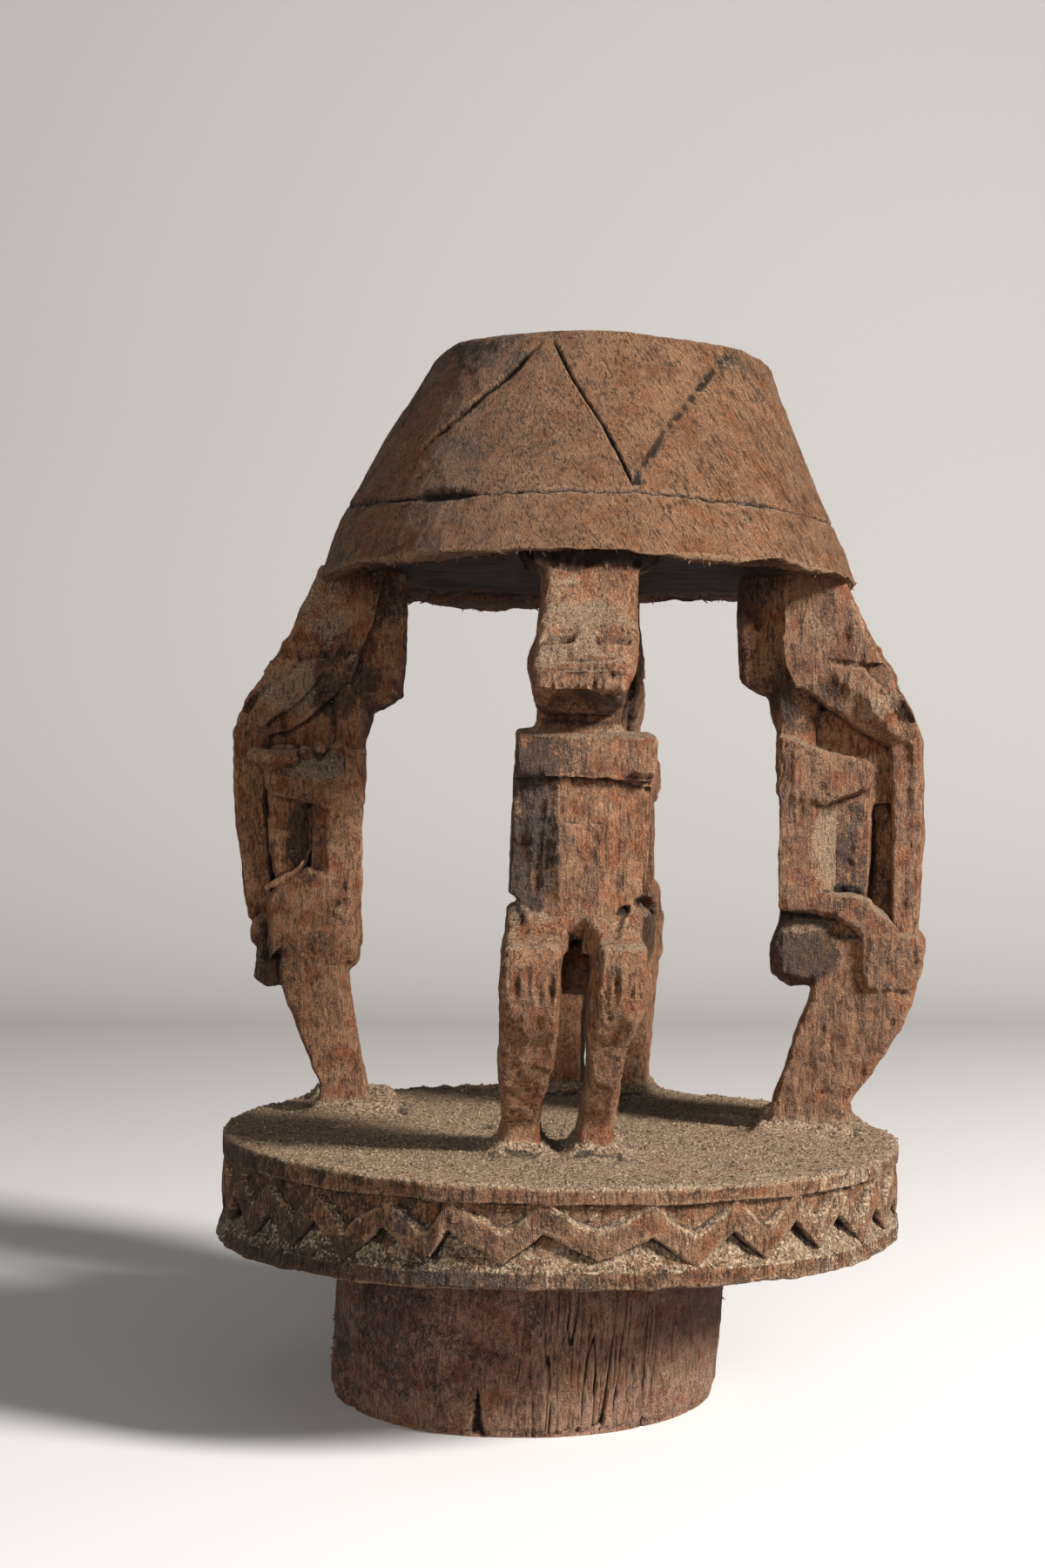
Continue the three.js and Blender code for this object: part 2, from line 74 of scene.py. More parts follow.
# Each figure's place and bearing, as in the frame. Its members are seen in its own millimetres: x to its
# left, out from the line of its back, and up from the platform.
UPRIGHT = dict(
    slim=0, hip_slim=0, leg=1, hand=1, knee_in=0, bow=0, sway_out=0, sway_left=0, arm_depth=9.8,
    niche_back=15.6, chest_out=0, fall=0, hair_fall=0, crown_back=0, hand_low=36.8, hand_inward=0,
    bearded=True, brow_out=0.8, face_step=1.3, flush=False,
)
FIGURES = {
    "front_figure": dict(UPRIGHT, place=-3.6, facing=4, inward=2, sway_left=3.6, bearded=False, seed=11),
    "right_figure": dict(
        UPRIGHT, place=83, facing=-3, inward=0, slim=1.5, hip_slim=1, leg=1.07, hair_fall=3, seed=23,
    ),
    "back_figure": dict(
        UPRIGHT, place=171.5, facing=0, inward=9, slim=3, hip_slim=1, hair_fall=3, sway_left=3.0, seed=37,
    ),
    "left_figure": dict(
        UPRIGHT, place=260, facing=15, inward=0, slim=7, hip_slim=3, leg=0.84, hand=0.94, knee_in=4.6,
        bow=2.8, sway_out=3.5, chest_out=4.4, fall=5.5, hair_fall=8, arm_depth=13, niche_back=18.2,
        crown_back=8, hand_low=32.4, hand_inward=4.4, brow_out=2.6, face_step=0.8, flush=True, seed=51,
    ),
}
SIDES = (-1, 1)
MEMBERS = ("head", "hair", "torso", "hips", "left_arm", "right_arm", "left_leg", "right_leg")

# Most triangles that a carved piece is thinned to
MOST_TRIANGLES = 194000
# Columns of points round the bowl, round the foot, and along one period of the frieze
BOWL_COLUMNS = 1000
FOOT_COLUMNS = 820
PERIOD_COLUMNS = 32
# The lattice that the figures are carved in: its corners, its cell, the distance that stands for far outside,
# and how far round a form it is worked
LATTICE = (-22, -20, -4), (22, 45, 147)
CELL = 0.44
OUTSIDE = 20.0
REACH = 4.0


# Rough noise of one wavelength, -1 to 1, alike for every run
def rough(points, wavelength, seed, stretch=1.0):
    place = np.asarray(points, np.float64) / wavelength
    place[:, 2] /= stretch
    base = np.floor(place).astype(np.int64)
    part = place - base
    part = part * part * (3 - 2 * part)
    total = np.zeros(len(place))
    for corner in range(8):
        step = np.array([corner & 1, corner >> 1 & 1, corner >> 2 & 1])
        cell = base + step
        mixed = cell[:, 0] * 73856093 ^ cell[:, 1] * 19349663 ^ cell[:, 2] * 83492791 ^ seed * 2654435761
        mixed = (mixed ^ (mixed >> 13)) * 1274126177 & 0x7FFFFFFF
        value = (mixed ^ (mixed >> 16)) % 65536 / 32767.5 - 1
        weight = np.prod(np.where(step == 1, part, 1 - part), axis=1)
        total += value * weight
    return total


# Sum of rough noises, each given as its weight, wavelength and seed
def layered(points, *layers):
    return sum(weight * rough(points, *noise) for weight, *noise in layers)


# Points shifted sideways by noise, so that a pattern on them wanders
def wandered(points, amount, wavelength, seed):
    aside = [rough(points, wavelength, seed), rough(points, wavelength, seed + 1), np.zeros(len(points))]
    return points + amount * np.column_stack(aside)


def smooth_step(low, high, value):
    share = np.clip((np.asarray(value) - low) / (high - low), 0, 1)
    return share * share * (3 - 2 * share)


# A soft-edged hill round a centre: 1 within the radii, 0 at soft times the radii
def hill(points, centre, radii, soft=1.5):
    away = np.linalg.norm((points - np.array(centre)) / np.array(radii), axis=1)
    return 1 - smooth_step(1.0, soft, away)


def smooth_low(a, b, blend):
    share = np.clip(0.5 + 0.5 * (b - a) / blend, 0, 1)
    return b + (a - b) * share - blend * share * (1 - share)


# A body as distances on a lattice: negative inside the wood, positive outside
class Carving:
    def __init__(self):
        low, high = LATTICE
        self.low = np.array(low, np.float32)
        self.axes = [np.arange(first, last, CELL, dtype=np.float32) for first, last in zip(low, high)]
        self.field = np.full([len(axis) for axis in self.axes], OUTSIDE, np.float32)

    # Adds a form to the wood, or with the sign -1 takes it away, with a soft seam
    def work(self, form, blend, sign):
        low, high, distance = form
        spans = tuple(
            slice(*np.searchsorted(axis, [first - REACH, last + REACH]))
            for axis, first, last in zip(self.axes, low, high)
        )
        place = np.ix_(*(axis[span] for axis, span in zip(self.axes, spans)))
        self.field[spans] = sign * smooth_low(sign * self.field[spans], distance(*place), blend)

    def add(self, form, blend):
        self.work(form, blend, 1)

    def cut(self, form, blend):
        self.work(form, blend, -1)

    # An upright member, a rod and a gouged groove, given how far the corners are rounded, or a radius, and how
    # soft the seam is
    def post(self, sections, corner, blend):
        self.add(upright(sections, corner), blend)

    def rod(self, path, radius, blend):
        self.add(groove(path, radius), blend)

    def gouge(self, path, radius, blend):
        self.cut(groove(path, radius), blend)

    # Distance at any points, read from the nearest cells
    def at(self, points):
        index = np.rint((points - self.low) / CELL).astype(int)
        index = np.clip(index, 0, np.array(self.field.shape) - 1)
        return self.field[index[:, 0], index[:, 1], index[:, 2]]

    def surface(self):
        grid = openvdb.FloatGrid(OUTSIDE)
        grid.copyFromArray(self.field)
        points, quads = grid.convertToQuads(0.0)
        return self.low + points.astype(np.float64) * CELL, quads.astype(np.int64)


# A member that runs along one axis through sections, its corners rounded off
def lofted(axis, sections, corner):
    rows = np.array(sorted(sections), np.float32)
    ends = rows[0, 0], rows[-1, 0]
    first, second = [other for other in range(3) if other != axis]
    low, high = np.zeros(3), np.zeros(3)
    low[axis], high[axis] = ends
    low[first], high[first] = rows[:, 1].min(), rows[:, 2].max()
    low[second], high[second] = rows[:, 3].min(), rows[:, 4].max()

    def distance(*place):
        along = place[axis]
        sides = [np.interp(along, rows[:, 0], rows[:, column]).astype(np.float32) for column in range(1, 5)]
        a = np.abs(place[first] - (sides[0] + sides[1]) / 2) - (sides[1] - sides[0]) / 2 + corner
        b = np.abs(place[second] - (sides[2] + sides[3]) / 2) - (sides[3] - sides[2]) / 2 + corner
        c = np.maximum(ends[0] - along, along - ends[1]) + corner
        inside = np.minimum(np.maximum(np.maximum(a, b), c), 0)
        a, b, c = np.maximum(a, 0), np.maximum(b, 0), np.maximum(c, 0)
        return np.sqrt(a * a + b * b + c * c) + inside - corner

    return low, high, distance


# Sections of an upright member are (up, right, left, back, front), of a reaching one
# (out, right, left, under, top)
def upright(sections, corner):
    return lofted(2, sections, corner)


def reaching(sections, corner):
    return lofted(1, sections, corner)


def ellipsoid(centre, radii):
    centre, radii = np.array(centre, float), np.array(radii, float)

    def distance(*place):
        x, out, up = ((value - middle) / radius for value, middle, radius in zip(place, centre, radii))
        return ((np.sqrt(x * x + out * out + up * up) - 1) * radii.min()).astype(np.float32)

    return centre - radii, centre + radii, distance


# A round-bottomed groove or rod along a path of points
def groove(path, radius):
    path = np.array(path, float)

    def distance(*place):
        nearest = np.inf
        for start, end in zip(path, path[1:]):
            run = end - start
            away = [value - first for value, first in zip(place, start)]
            share = (away[0] * run[0] + away[1] * run[1] + away[2] * run[2]) / run.dot(run)
            share = np.clip(share, 0, 1)
            aside = [(value - share * step) ** 2 for value, step in zip(away, run)]
            nearest = np.minimum(nearest, np.sqrt(aside[0] + aside[1] + aside[2]))
        return (nearest - radius).astype(np.float32)

    return path.min(0) - radius, path.max(0) + radius, distance


# The part of a box where the rule is below zero
def shaped(low, high, rule):
    def distance(*place):
        outside = -np.inf
        for value, first, last in zip(place, low, high):
            outside = np.maximum(outside, np.maximum(first - value, value - last))
        return np.maximum(outside, rule(*place)).astype(np.float32)

    return np.array(low, float), np.array(high, float), distance


def side_span(side, inner, outer):
    return (inner, outer) if side > 0 else (-outer, -inner)


# Corners of a box on one side of a figure
def side_box(side, low, high):
    right, left = side_span(side, low[0], high[0])
    return (right, *low[1:]), (left, *high[1:])


# A path as it is on the figure's left, or mirrored to its right
def beside(side, *path):
    return [(side * x, out, up) for x, out, up in path]


# Sections of a bearded head by their drop below the crown: half width, back, front
HEAD = ((0, 11.8, -2.5, 15.7), (13.6, 12.4, -1.6, 21.6), (23.7, 12.5, 0.8, 28.4), (28.2, 12.2, 3.4, 31),
        (34.2, 11.4, 11.4, 34.8), (39.8, 9.4, 20.4, 37), (44.2, 6.8, 28, 38))
# Sections of the beardless head: drop, right, left, back, front
BROKEN_HEAD = ((0, -11.4, 11.6, -2.5, 15.7), (13.6, -11.9, 11.6, -1.2, 21.6), (20, -12.4, 11.6, 0.6, 26),
               (26, -13.5, 11.3, 1.5, 30.2), (29.5, -13.7, 10.8, 3, 32.8), (34, -12.9, 9.4, 5, 33.4),
               (36.4, -12.2, 8.7, 6, 30), (39.4, -11.6, 8, 6, 19))
HAIR = ((0, 8.4, -12.4, 2), (13.6, 9, -12.7, 3), (24.4, 8.6, -11.2, 5), (28.4, 6.6, -6, 3))
# Line on the side of the head, by height, in front of which the face is cut back
FACE_LINE = ((40, 35.4), (99, 35.2), (105.2, 33.6), (112.3, 29), (118.8, 22))
BROW_HEIGHT = 119.4
# How far out the front figure's chest and the fingertips are, and half the width over the arms
CHEST_PLANE = 24.2
FINGERTIPS = 39.2
ARM_SIDE = 16.7
SOLE = ((-1, 3.8, 15.2, -2.6, 20.8), (0.8, 4.0, 15, -2.2, 20.2), (3, 4.2, 14.7, -1.5, 19.4),
        (7, 4.7, 14.4, -0.8, 19))
SHIN = ((12, 4.8, 14.6, 1.2, 22.6), (19, 4.6, 15, 3.4, 26.8), (27, 4.4, 15.6, 6, 31),
        (33, 4.2, 16, 8.4, 33.8), (38, 4.2, 16.2, 10, 35), (44, 4.4, 16.2, 12.6, 33.8),
        (49.8, 4.8, 15.6, 14, 31))
# The front figure's legs, right and left: up, inner, outer, back, front
FRONT_LEGS = {
    -1: ((-1, 5, 16.2, -2.6, 20.6), (0.8, 5.2, 16, -2.2, 20), (3, 5.4, 15.7, -1.6, 19.4),
         (7, 5.9, 15.3, -0.8, 19), (13, 5.6, 15.9, 1.4, 23), (18.5, 4.2, 16.5, 3.4, 26.8),
         (23.5, 3.5, 16.7, 4.8, 29.4), (30, 3.2, 16.8, 7.2, 33), (38, 3.3, 16.6, 10, 35.4),
         (44, 3.6, 16.2, 12.6, 34), (50, 4, 15.6, 14, 31)),
    1: ((-1, 1.6, 12, -2.6, 20.6), (0.8, 1.8, 11.8, -2.2, 20), (3, 2, 11.5, -1.6, 19.4),
        (7, 2.6, 11, -0.8, 19), (13, 3.4, 11.7, 1.4, 23), (18.5, 4, 12.2, 3.4, 26.8),
        (23.5, 3.8, 12.6, 4.8, 29.4), (30, 3, 13.8, 7.2, 33), (38, 2.6, 15.4, 10, 35.4),
        (44, 3.4, 15.6, 12.6, 34), (50, 4.6, 15, 14, 31)),
}
# Sections of the forearm over the thigh: out, under, top
FOREARM = ((3, 56.2, 62.4), (10, 55.8, 61.6), (16, 54.4, 61.6), (20.5, 52, 61.4), (24.5, 49, 60),
           (28.8, 44.8, 56.2), (33, 37.6, 51.6))
# The left figure's forearm is one lump with its thigh
LUMP = ((3, 50, 62.4), (10, 50, 62.8), (16, 50, 63.8), (20.5, 49, 64.4), (24.5, 46, 62.6), (28.8, 43, 60),
        (33, 38, 56))


def hung(drop, *sides):
    return (FIGURE_HEIGHT - drop, *sides)


# Value at a place in a table whose rows start with their places
def looked_up(place, rows, column=1):
    return np.interp(place, [row[0] for row in rows], [row[column] for row in rows])


# How far out a head's face is at a drop below the crown
def face_out(rows, drop):
    return float(looked_up(drop, rows, -1))


# Front of the face on one side, cut back behind a line that runs from the brow down to the beard
def face_front(side, step):
    def rule(x, out, up):
        half = looked_up(FIGURE_HEIGHT - up, HEAD + ((44.8, 6.4),))
        return np.maximum(half - step - side * x, looked_up(up, FACE_LINE) - out)

    return shaped(*side_box(side, (2, 18, 52), (16, 42, BROW_HEIGHT)), rule)


# The face: a low brow, slit eyes over swollen lids, a worn nose and a mouth between two ridges
def carve_face(body, rows, shift, worn):
    # A point at a drop below the crown, this proud of the face as it is at a level
    def spot(x, drop, level, proud):
        return x, face_out(rows, level) + proud, FIGURE_HEIGHT - drop

    brow = [spot(shift - 9, 19.6, 19.4, -0.6), spot(shift + 8.4, 19, 19.2, -0.6)]
    body.rod(brow, 1.0, 1.4)
    for side in SIDES:
        eye = side * 5.9 + shift
        body.cut(ellipsoid(spot(eye, 22.6, 22.6, 0.5), (4.3, 2.1 - 0.8 * worn, 1.9)), 0.8)
        body.add(ellipsoid(spot(eye, 24.2, 24.4, -0.7), (3.7, 1.3, 0.9)), 0.5)
        slit = [spot(eye - 3.6, 23.3, 23, -0.5), spot(eye + 3.6, 22.9, 22.8, -0.5)]
        body.gouge(slit, 0.55, 0.2)
    nose = [hung(26.8, shift - 3.6, shift + 3.4, 22, face_out(rows, 26.8) + 0.9),
            hung(18, shift - 1.4, shift + 1.4, 17, face_out(rows, 18) + 0.2)]
    body.post(nose, 0.8, 1.5)
    nick = [spot(shift - 5.6, 27.7, 27.6, 0.5), spot(shift + 5.4, 27.5, 27.4, 0.5)]
    body.gouge(nick, 0.75 - 0.2 * worn, 0.4)
    for drop in (28.3, 30):
        out = face_out(rows, drop) - 0.4
        lip = [(shift - 5.8, out, FIGURE_HEIGHT - drop - 0.2), (shift + 5.4, out, FIGURE_HEIGHT - drop)]
        body.rod(lip, 0.8 - 0.3 * worn, 0.5)
    slit = [spot(shift - 6, 29.3, 29.2, 0.3), spot(shift + 5.6, 29, 29.1, 0.3)]
    body.gouge(slit, 0.6 - 0.25 * worn, 0.2)


def carve_hair(body, figure):
    fall = figure["hair_fall"]
    hair = [hung(drop + fall * (drop > 20), -half, half, back, front) for drop, half, back, front in HAIR]
    body.post(hair + [(FIGURE_HEIGHT + 1.5, -8.4, 8.4, -12.4, 2)], 2.6, 1.2)
    behind = 0.8 * figure["crown_back"]
    low = 115 - 0.5 * fall
    for side in SIDES:
        # Slack between the hair and the back of the head
        slack = beside(side, (11.4, -2.4 - behind, 143), (11, -1.4 - 0.6 * behind, 129), (10.2, 1.2, low))
        body.gouge(slack, 2.1, 0.5)
        # Thin raised edge behind the cheek
        if figure["bearded"]:
            edge = beside(side, (11.9, 0.4, 126), (12.2, 1.6, 119), (11.6, 4.2, 113.6))
            body.rod(edge, 0.8, 0.6)
    # The nape, running down from the hair into the neck
    body.add(ellipsoid((0, -0.8, FIGURE_HEIGHT - 31 - fall * 0.8), (7.4, 3, 6)), 2.4)


def carve_head(body, figure):
    bearded = figure["bearded"]
    rows = BROKEN_HEAD
    sections = [hung(*row) for row in rows]
    if bearded:
        rows = []
        for drop in sorted([row[0] for row in HEAD] + [5, 9.5, 18]):
            half, back, front = (looked_up(drop, HEAD, column) for column in (1, 2, 3))
            back = back - figure["crown_back"] * max(0, 1 - drop / 22)
            rows.append((drop, half, back, front + figure["brow_out"] * math.exp(-(((drop - 13) / 8) ** 2))))
        sections = [hung(drop, -half, half, back, front) for drop, half, back, front in rows]
    crown = (FIGURE_HEIGHT + 1.5, *sections[0][1:])
    body.post(sections + [crown], 2 if bearded else 2.8, 1.2)
    carve_hair(body, figure)
    carve_face(body, rows, 0 if bearded else -1, int(bearded))
    if not bearded:
        return
    for side in SIDES:
        body.cut(face_front(side, figure["face_step"]), 0.7)
        # Cheek, swollen behind the cut, with a dark furrow before it
        body.rod(beside(side, (9.4, 17, 115.6), (9.2, 23.4, 110.4), (7.4, 30, 104)), 3.4, 1.6)
        furrow = beside(side, (12.6, 13, 120), (12.5, 22.4, 119), (11.9, 29.4, 112.4), (9.4, 34.6, 105.2))
        body.gouge(furrow, 0.85, 0.4)
        if figure["flush"]:
            jaw = beside(side, (13.2, 5, 122), (12.9, 11, 114.4), (11.4, 19, 107.4), (9, 27, 101.8))
            body.gouge(jaw, 2.3, 0.8)


# Where the beard has broken off, the chin ends in a chipped stump over a hollow
def carve_chin_scar(body):
    chips = ((-8.8, 5), (-7.2, 4), (-5.6, 6), (-3.6, 4.4), (-1.8, 5.4), (0.2, 4), (2.2, 6), (4, 4.6),
             (5.6, 5))
    for x, length in chips:
        body.gouge([(x, 34.8, 113), (x + 0.6, 33.6, 113 - length)], 0.95, 0.15)
    pits = ((-7.6, 34.6, 112.6, 1.5), (-2.6, 35, 113.2, 1.2), (1, 34.8, 112.4, 1.6), (5.2, 34.2, 112, 1.7))
    for x, out, up, radius in pits:
        body.cut(ellipsoid((x, out, up), (radius * 1.4, 1.8, radius)), 0.2)
    body.cut(ellipsoid((-2.6, 28.5, 103.8), (7.4, 10, 4.6)), 0.7)
    # Ear, a lump on the right of the jaw alone
    body.add(ellipsoid((-12.6, 21, 114.6), (1.8, 4, 5)), 1.6)


def carve_beard(body):
    strut = [(49.5, -5.6, 5.6, 30.4, 37.4), (60, -6.3, 6.3, 29.7, 38), (80, -6.3, 6.3, 29.8, 38.3),
             (101, -6.9, 6.9, 28.6, 38)]
    body.post(strut, 1.3, 0.8)
    # Uncut wood deep between the strut, the chest and the throat
    body.post([(53.5, -1.8, 1.8, 18, 33), (90, -1.8, 1.8, 18, 33)], 0.5, 0.5)
    throat = [(84, -4.4, 4.4, 6, 32), (99, -4.6, 4.6, 4, 31), (108, -6.4, 6.4, 2, 24)]
    body.post(throat, 0.8, 1.0)
    # Furrows left by the tool along its sides
    for side in SIDES:
        body.gouge(beside(side, (7.4, 33.6, 98), (7.6, 34.2, 76), (7.4, 33.4, 55)), 1.5, 0.4)


def carve_shoulders(body, figure):
    front = 25 + figure["chest_out"]
    drop = 0.8 * figure["fall"]
    if figure["bearded"]:
        top_back, top_front = 101.4 - figure["fall"], 95.2 - 0.2 * figure["fall"]
        rows = ((-0.9, 16.4, 85.4 - drop, top_back), (3, 17.2, 84.6 - drop, top_back - 0.6),
                (8.5, 17.4, 83.8 - drop, top_front + 3.4), (12.4, 17.5, 83 - drop, top_front + 2.2),
                (16, 17.5, 84.6 - drop, top_front + 1.4), (front - 1.5, 17.2, 87 - drop, top_front),
                (front + 0.4, 16.4, 89 - drop, top_front - 1.4))
        sections = [(out, -half, half, under, over) for out, half, under, over in rows]
    else:
        sections = [(-0.9, -15.6, 16, 86.2, 100.4), (3, -16.2, 17, 85.2, 100.4),
                    (13, -16.4, 17.2, 85.8, 99.6), (22.6, -16.2, 17.1, 88, 98.7),
                    (25.2, -15.8, 16.8, 89.2, 98)]
    body.add(reaching(sections, corner=1.3), 0.5)
    if figure["flush"]:
        # The shoulder's upper edge is cut off at a slant
        for side in SIDES:
            body.cut(shaped(*side_box(side, (8, 6, 84), (20, 32, 102)), lambda x, out, up, side=side: -(
                (side * x - 17.4) * 0.8 + (up - 87.6) * 0.6)), 0.3)


def carve_neck(body, figure):
    drop = 0.8 * figure["fall"]
    if figure["bearded"]:
        neck = [(91 - drop, -12, 12, -1.6, 15), (97 - 0.7 * drop, -9.6, 9.6, -1.5, 9),
                (104, -8.7, 8.7, -1.4, 9.6), (118, -9.4, 9.4, -1.8, 12)]
        body.post(neck, 2.4, 1.6)
    else:
        neck = [(95, -16, 14.4, -1, 20), (98.6, -13, 11, -1.2, 16), (102, -11.3, 8.8, -1.3, 13.4),
                (108, -11.2, 9, -1.3, 13), (118, -11, 10, -1.5, 13)]
        body.post(neck, 2.6, 1.4)


def carve_torso(body, figure):
    out = figure["chest_out"]
    chest = ((50.8, 2.0, 3, 22.4), (56.5, 6.6, 1.4, 24), (63, 9.5, 0.4, 25), (72, 9.9, 0.2, 25.2),
             (91, 9.7, 0.2, 25))
    sections = [(up, -half, half, back, front + out) for up, half, back, front in chest]
    body.post(sections, 1.4, 1.0)
    # Wood behind the belly and the wrists, so that nothing shows through
    deep = 0 if figure["bearded"] else 7
    belly = [(44, -12.4, 12.4, -0.6, 23 - deep), (52, -12.6, 12.6, 0, 25 - deep), (60, -12, 12, 0.4, 21)]
    body.post(belly, 1, 0.6)


# The front figure's chest and arms, cut flat in one with the arms sloping back on both sides
def carve_front_body(body):
    chest = [(51.6, -1.2, 1.2, 3, 23.4), (54.4, -5.4, 5, 1.4, 24), (58, -10.4, 9.8, 0.4, 24.4),
             (61.5, -16, 16, 0, CHEST_PLANE), (70, -16.2, 16.2, 0, CHEST_PLANE),
             (88.5, -16.3, 16.7, 0, CHEST_PLANE)]
    body.post(chest, 1.0, 0.4)
    for side, start, inner, outer in ((-1, 5.8, 3.2, 16.4), (1, 6.8, 4.8, 15.7)):
        slope = shaped((-21, 12, 50), (21, 30, 87.6), lambda x, out, up, side=side, start=start: -(
            (side * x - start) * 0.34 + (out - CHEST_PLANE) * 0.94))
        body.cut(slope, 0.25)
        # Faint line where the arm meets the chest
        body.gouge(beside(side, (9.9, 23.4, 86), (9.6, 23.2, 74), (9.8, 23.2, 62)), 0.7, 0.4)
        # Lap: forearms and thighs in one, sloping down to the knees
        lap = ((14, 0.6, 46, 59.5), (20, 0.8, 46, 59), (25, 1.6, 45, 56.4), (30, inner, 42, 52.8),
               (34.6, inner + 0.6, 38, 50))
        sections = [(out, *side_span(side, gap, outer), under, over) for out, gap, under, over in lap]
        body.add(reaching(sections, corner=2.0), 0.8)
        # Ridge along the top of the forearm
        body.rod(beside(side, (13.4, 20, 59), (11.4, 26, 55.6), (9.6, 32, 50.8)), 1.2, 1.0)
    # The chest is cut back under the shoulders in one sharp step, which fades out towards the figure's right
    heights = ((-17, 88.2), (-3, 88.4), (6, 88), (17.5, 85.8))

    def step(x, out, up):
        edge = looked_up(x, heights)
        depth = 0.35 + 0.95 * smooth_step(-5, -1, x)
        face = 24.3 - 0.362 * np.maximum(x - 6.8, 0) - 0.362 * np.maximum(-x - 5.8, 0)
        plane = face - depth * np.clip(1 - (edge - up) / 9, 0, 1)
        return np.maximum(plane - out, up - edge)

    body.cut(shaped((-17.5, 15, 78), (17.8, 28, 89), step), 0.12)
    # Broad slanting strokes of the tool, barely sunk into the chest
    strokes = (((-4.6, 28.2, 84), (3.4, 28, 74)), ((-0.6, 28.1, 86), (6.4, 28, 78)),
               ((-5, 28.2, 76), (1, 28.1, 67)), ((1, 28.2, 74), (5.6, 28.1, 64)))
    for stroke in strokes:
        body.gouge(stroke, 3.4, 0.3)


def carve_hips(body, figure):
    back = -2.8 + figure["hip_slim"]
    hips = [(37.2, -15, 15, back + 2.4, 14.6), (40, -16.4, 16.4, back + 0.4, 16),
            (48, -16.7, 16.7, back, 16), (53.8, -15.6, 15.6, back + 2, 16)]
    body.post(hips, 4.4, 1.4)
    if figure["flush"]:
        # Thighs that run up into the arms without a gap
        thighs = [(40, -16.4, 16.4, 2.4, 25), (50, -16.6, 16.6, 1.4, 25), (57.4, -16.4, 16.4, 0.8, 18)]
        body.post(thighs, 2, 1.6)
    for side in SIDES:
        # Dark groove between the trunk and the hips, shallower over the thigh
        if figure["bearded"] and not figure["flush"]:
            trench = beside(side, (17.9, -3, 55.2), (17.7, 8, 55), (17.8, 15, 53.6), (18.2, 22, 50.6))
            body.gouge(trench, 1.8, 0.7)
        else:
            body.gouge(beside(side, (18, -3, 55.8), (18, 8, 56)), 1.2, 0.8)
        body.gouge(beside(side, (17.2, -1, 36.6), (17.2, 8, 36.8), (17.8, 14, 38)), 1.2, 0.5)
    body.gouge([(-17, -4.4, 55.4), (17, -4.4, 55.4)], 1.8, 0.5)


def carve_leg(body, side, figure):
    rows = []
    for up, inner, outer, back, front in SOLE + SHIN if figure["bearded"] else FRONT_LEGS[side]:
        back = back - figure["knee_in"] * np.clip(up, 0, 44) / 37.5
        rows.append((up, *side_span(side, inner, outer), back, front * figure["leg"]))
    body.post(rows, 1.9, 1.0)
    # Edge taken off the front of the shin on the outside
    if figure["bearded"]:
        edge = beside(side, (17, 24 * figure["leg"], 10), (17.9, 36 * figure["leg"], 32))
        body.gouge(edge, 2.2, 0.5)


# An arm beside the niche: a bar at the back, its front sloping in to the wall of the niche
def carve_arm(body, side, figure):
    depth, inmost, top = figure["arm_depth"], figure["niche_back"], 87 - 0.8 * figure["fall"]
    right, left = side_span(side, 8.6, ARM_SIDE)
    bar = [(55.8, right, left, 0, depth - 0.4), (64, right, left, -0.1, depth + 0.2),
           (76, right, left, 0.1, depth - 0.3), (top, right, left, 0, depth)]
    body.post(bar, 1.2, 0.4)
    inner = 12.8 if figure["flush"] else 9.9
    run = math.hypot(ARM_SIDE - inner, inmost - depth)
    body.add(shaped(*side_box(side, (8, 0, 57), (ARM_SIDE, inmost, top)), lambda x, out, up: (
        (side * x - inner) * (inmost - depth) + (out - inmost) * (ARM_SIDE - inner)) / run), 0.4)
    # Forearm over the thigh, bowed upwards
    right, left = side_span(side, 9.4, 16.9)
    reach = min(1, 0.5 + 0.5 * figure["hand"])
    rows = LUMP if figure["flush"] else FOREARM
    sections = [(out * reach, right, left, under, over) for out, under, over in rows]
    body.add(reaching(sections, corner=2.2), 0.9)
    if figure["flush"]:
        body.gouge(beside(side, (17.6, 4, 55.4), (17.7, 16, 54.2), (17.6, 25, 50)), 1.1, 0.7)
    else:
        # Scoop between the arm and the wall of the niche
        body.gouge(beside(side, (19.6, depth + 3.6, 80), (19.4, depth + 3.8, 66)), 4.4, 0.6)


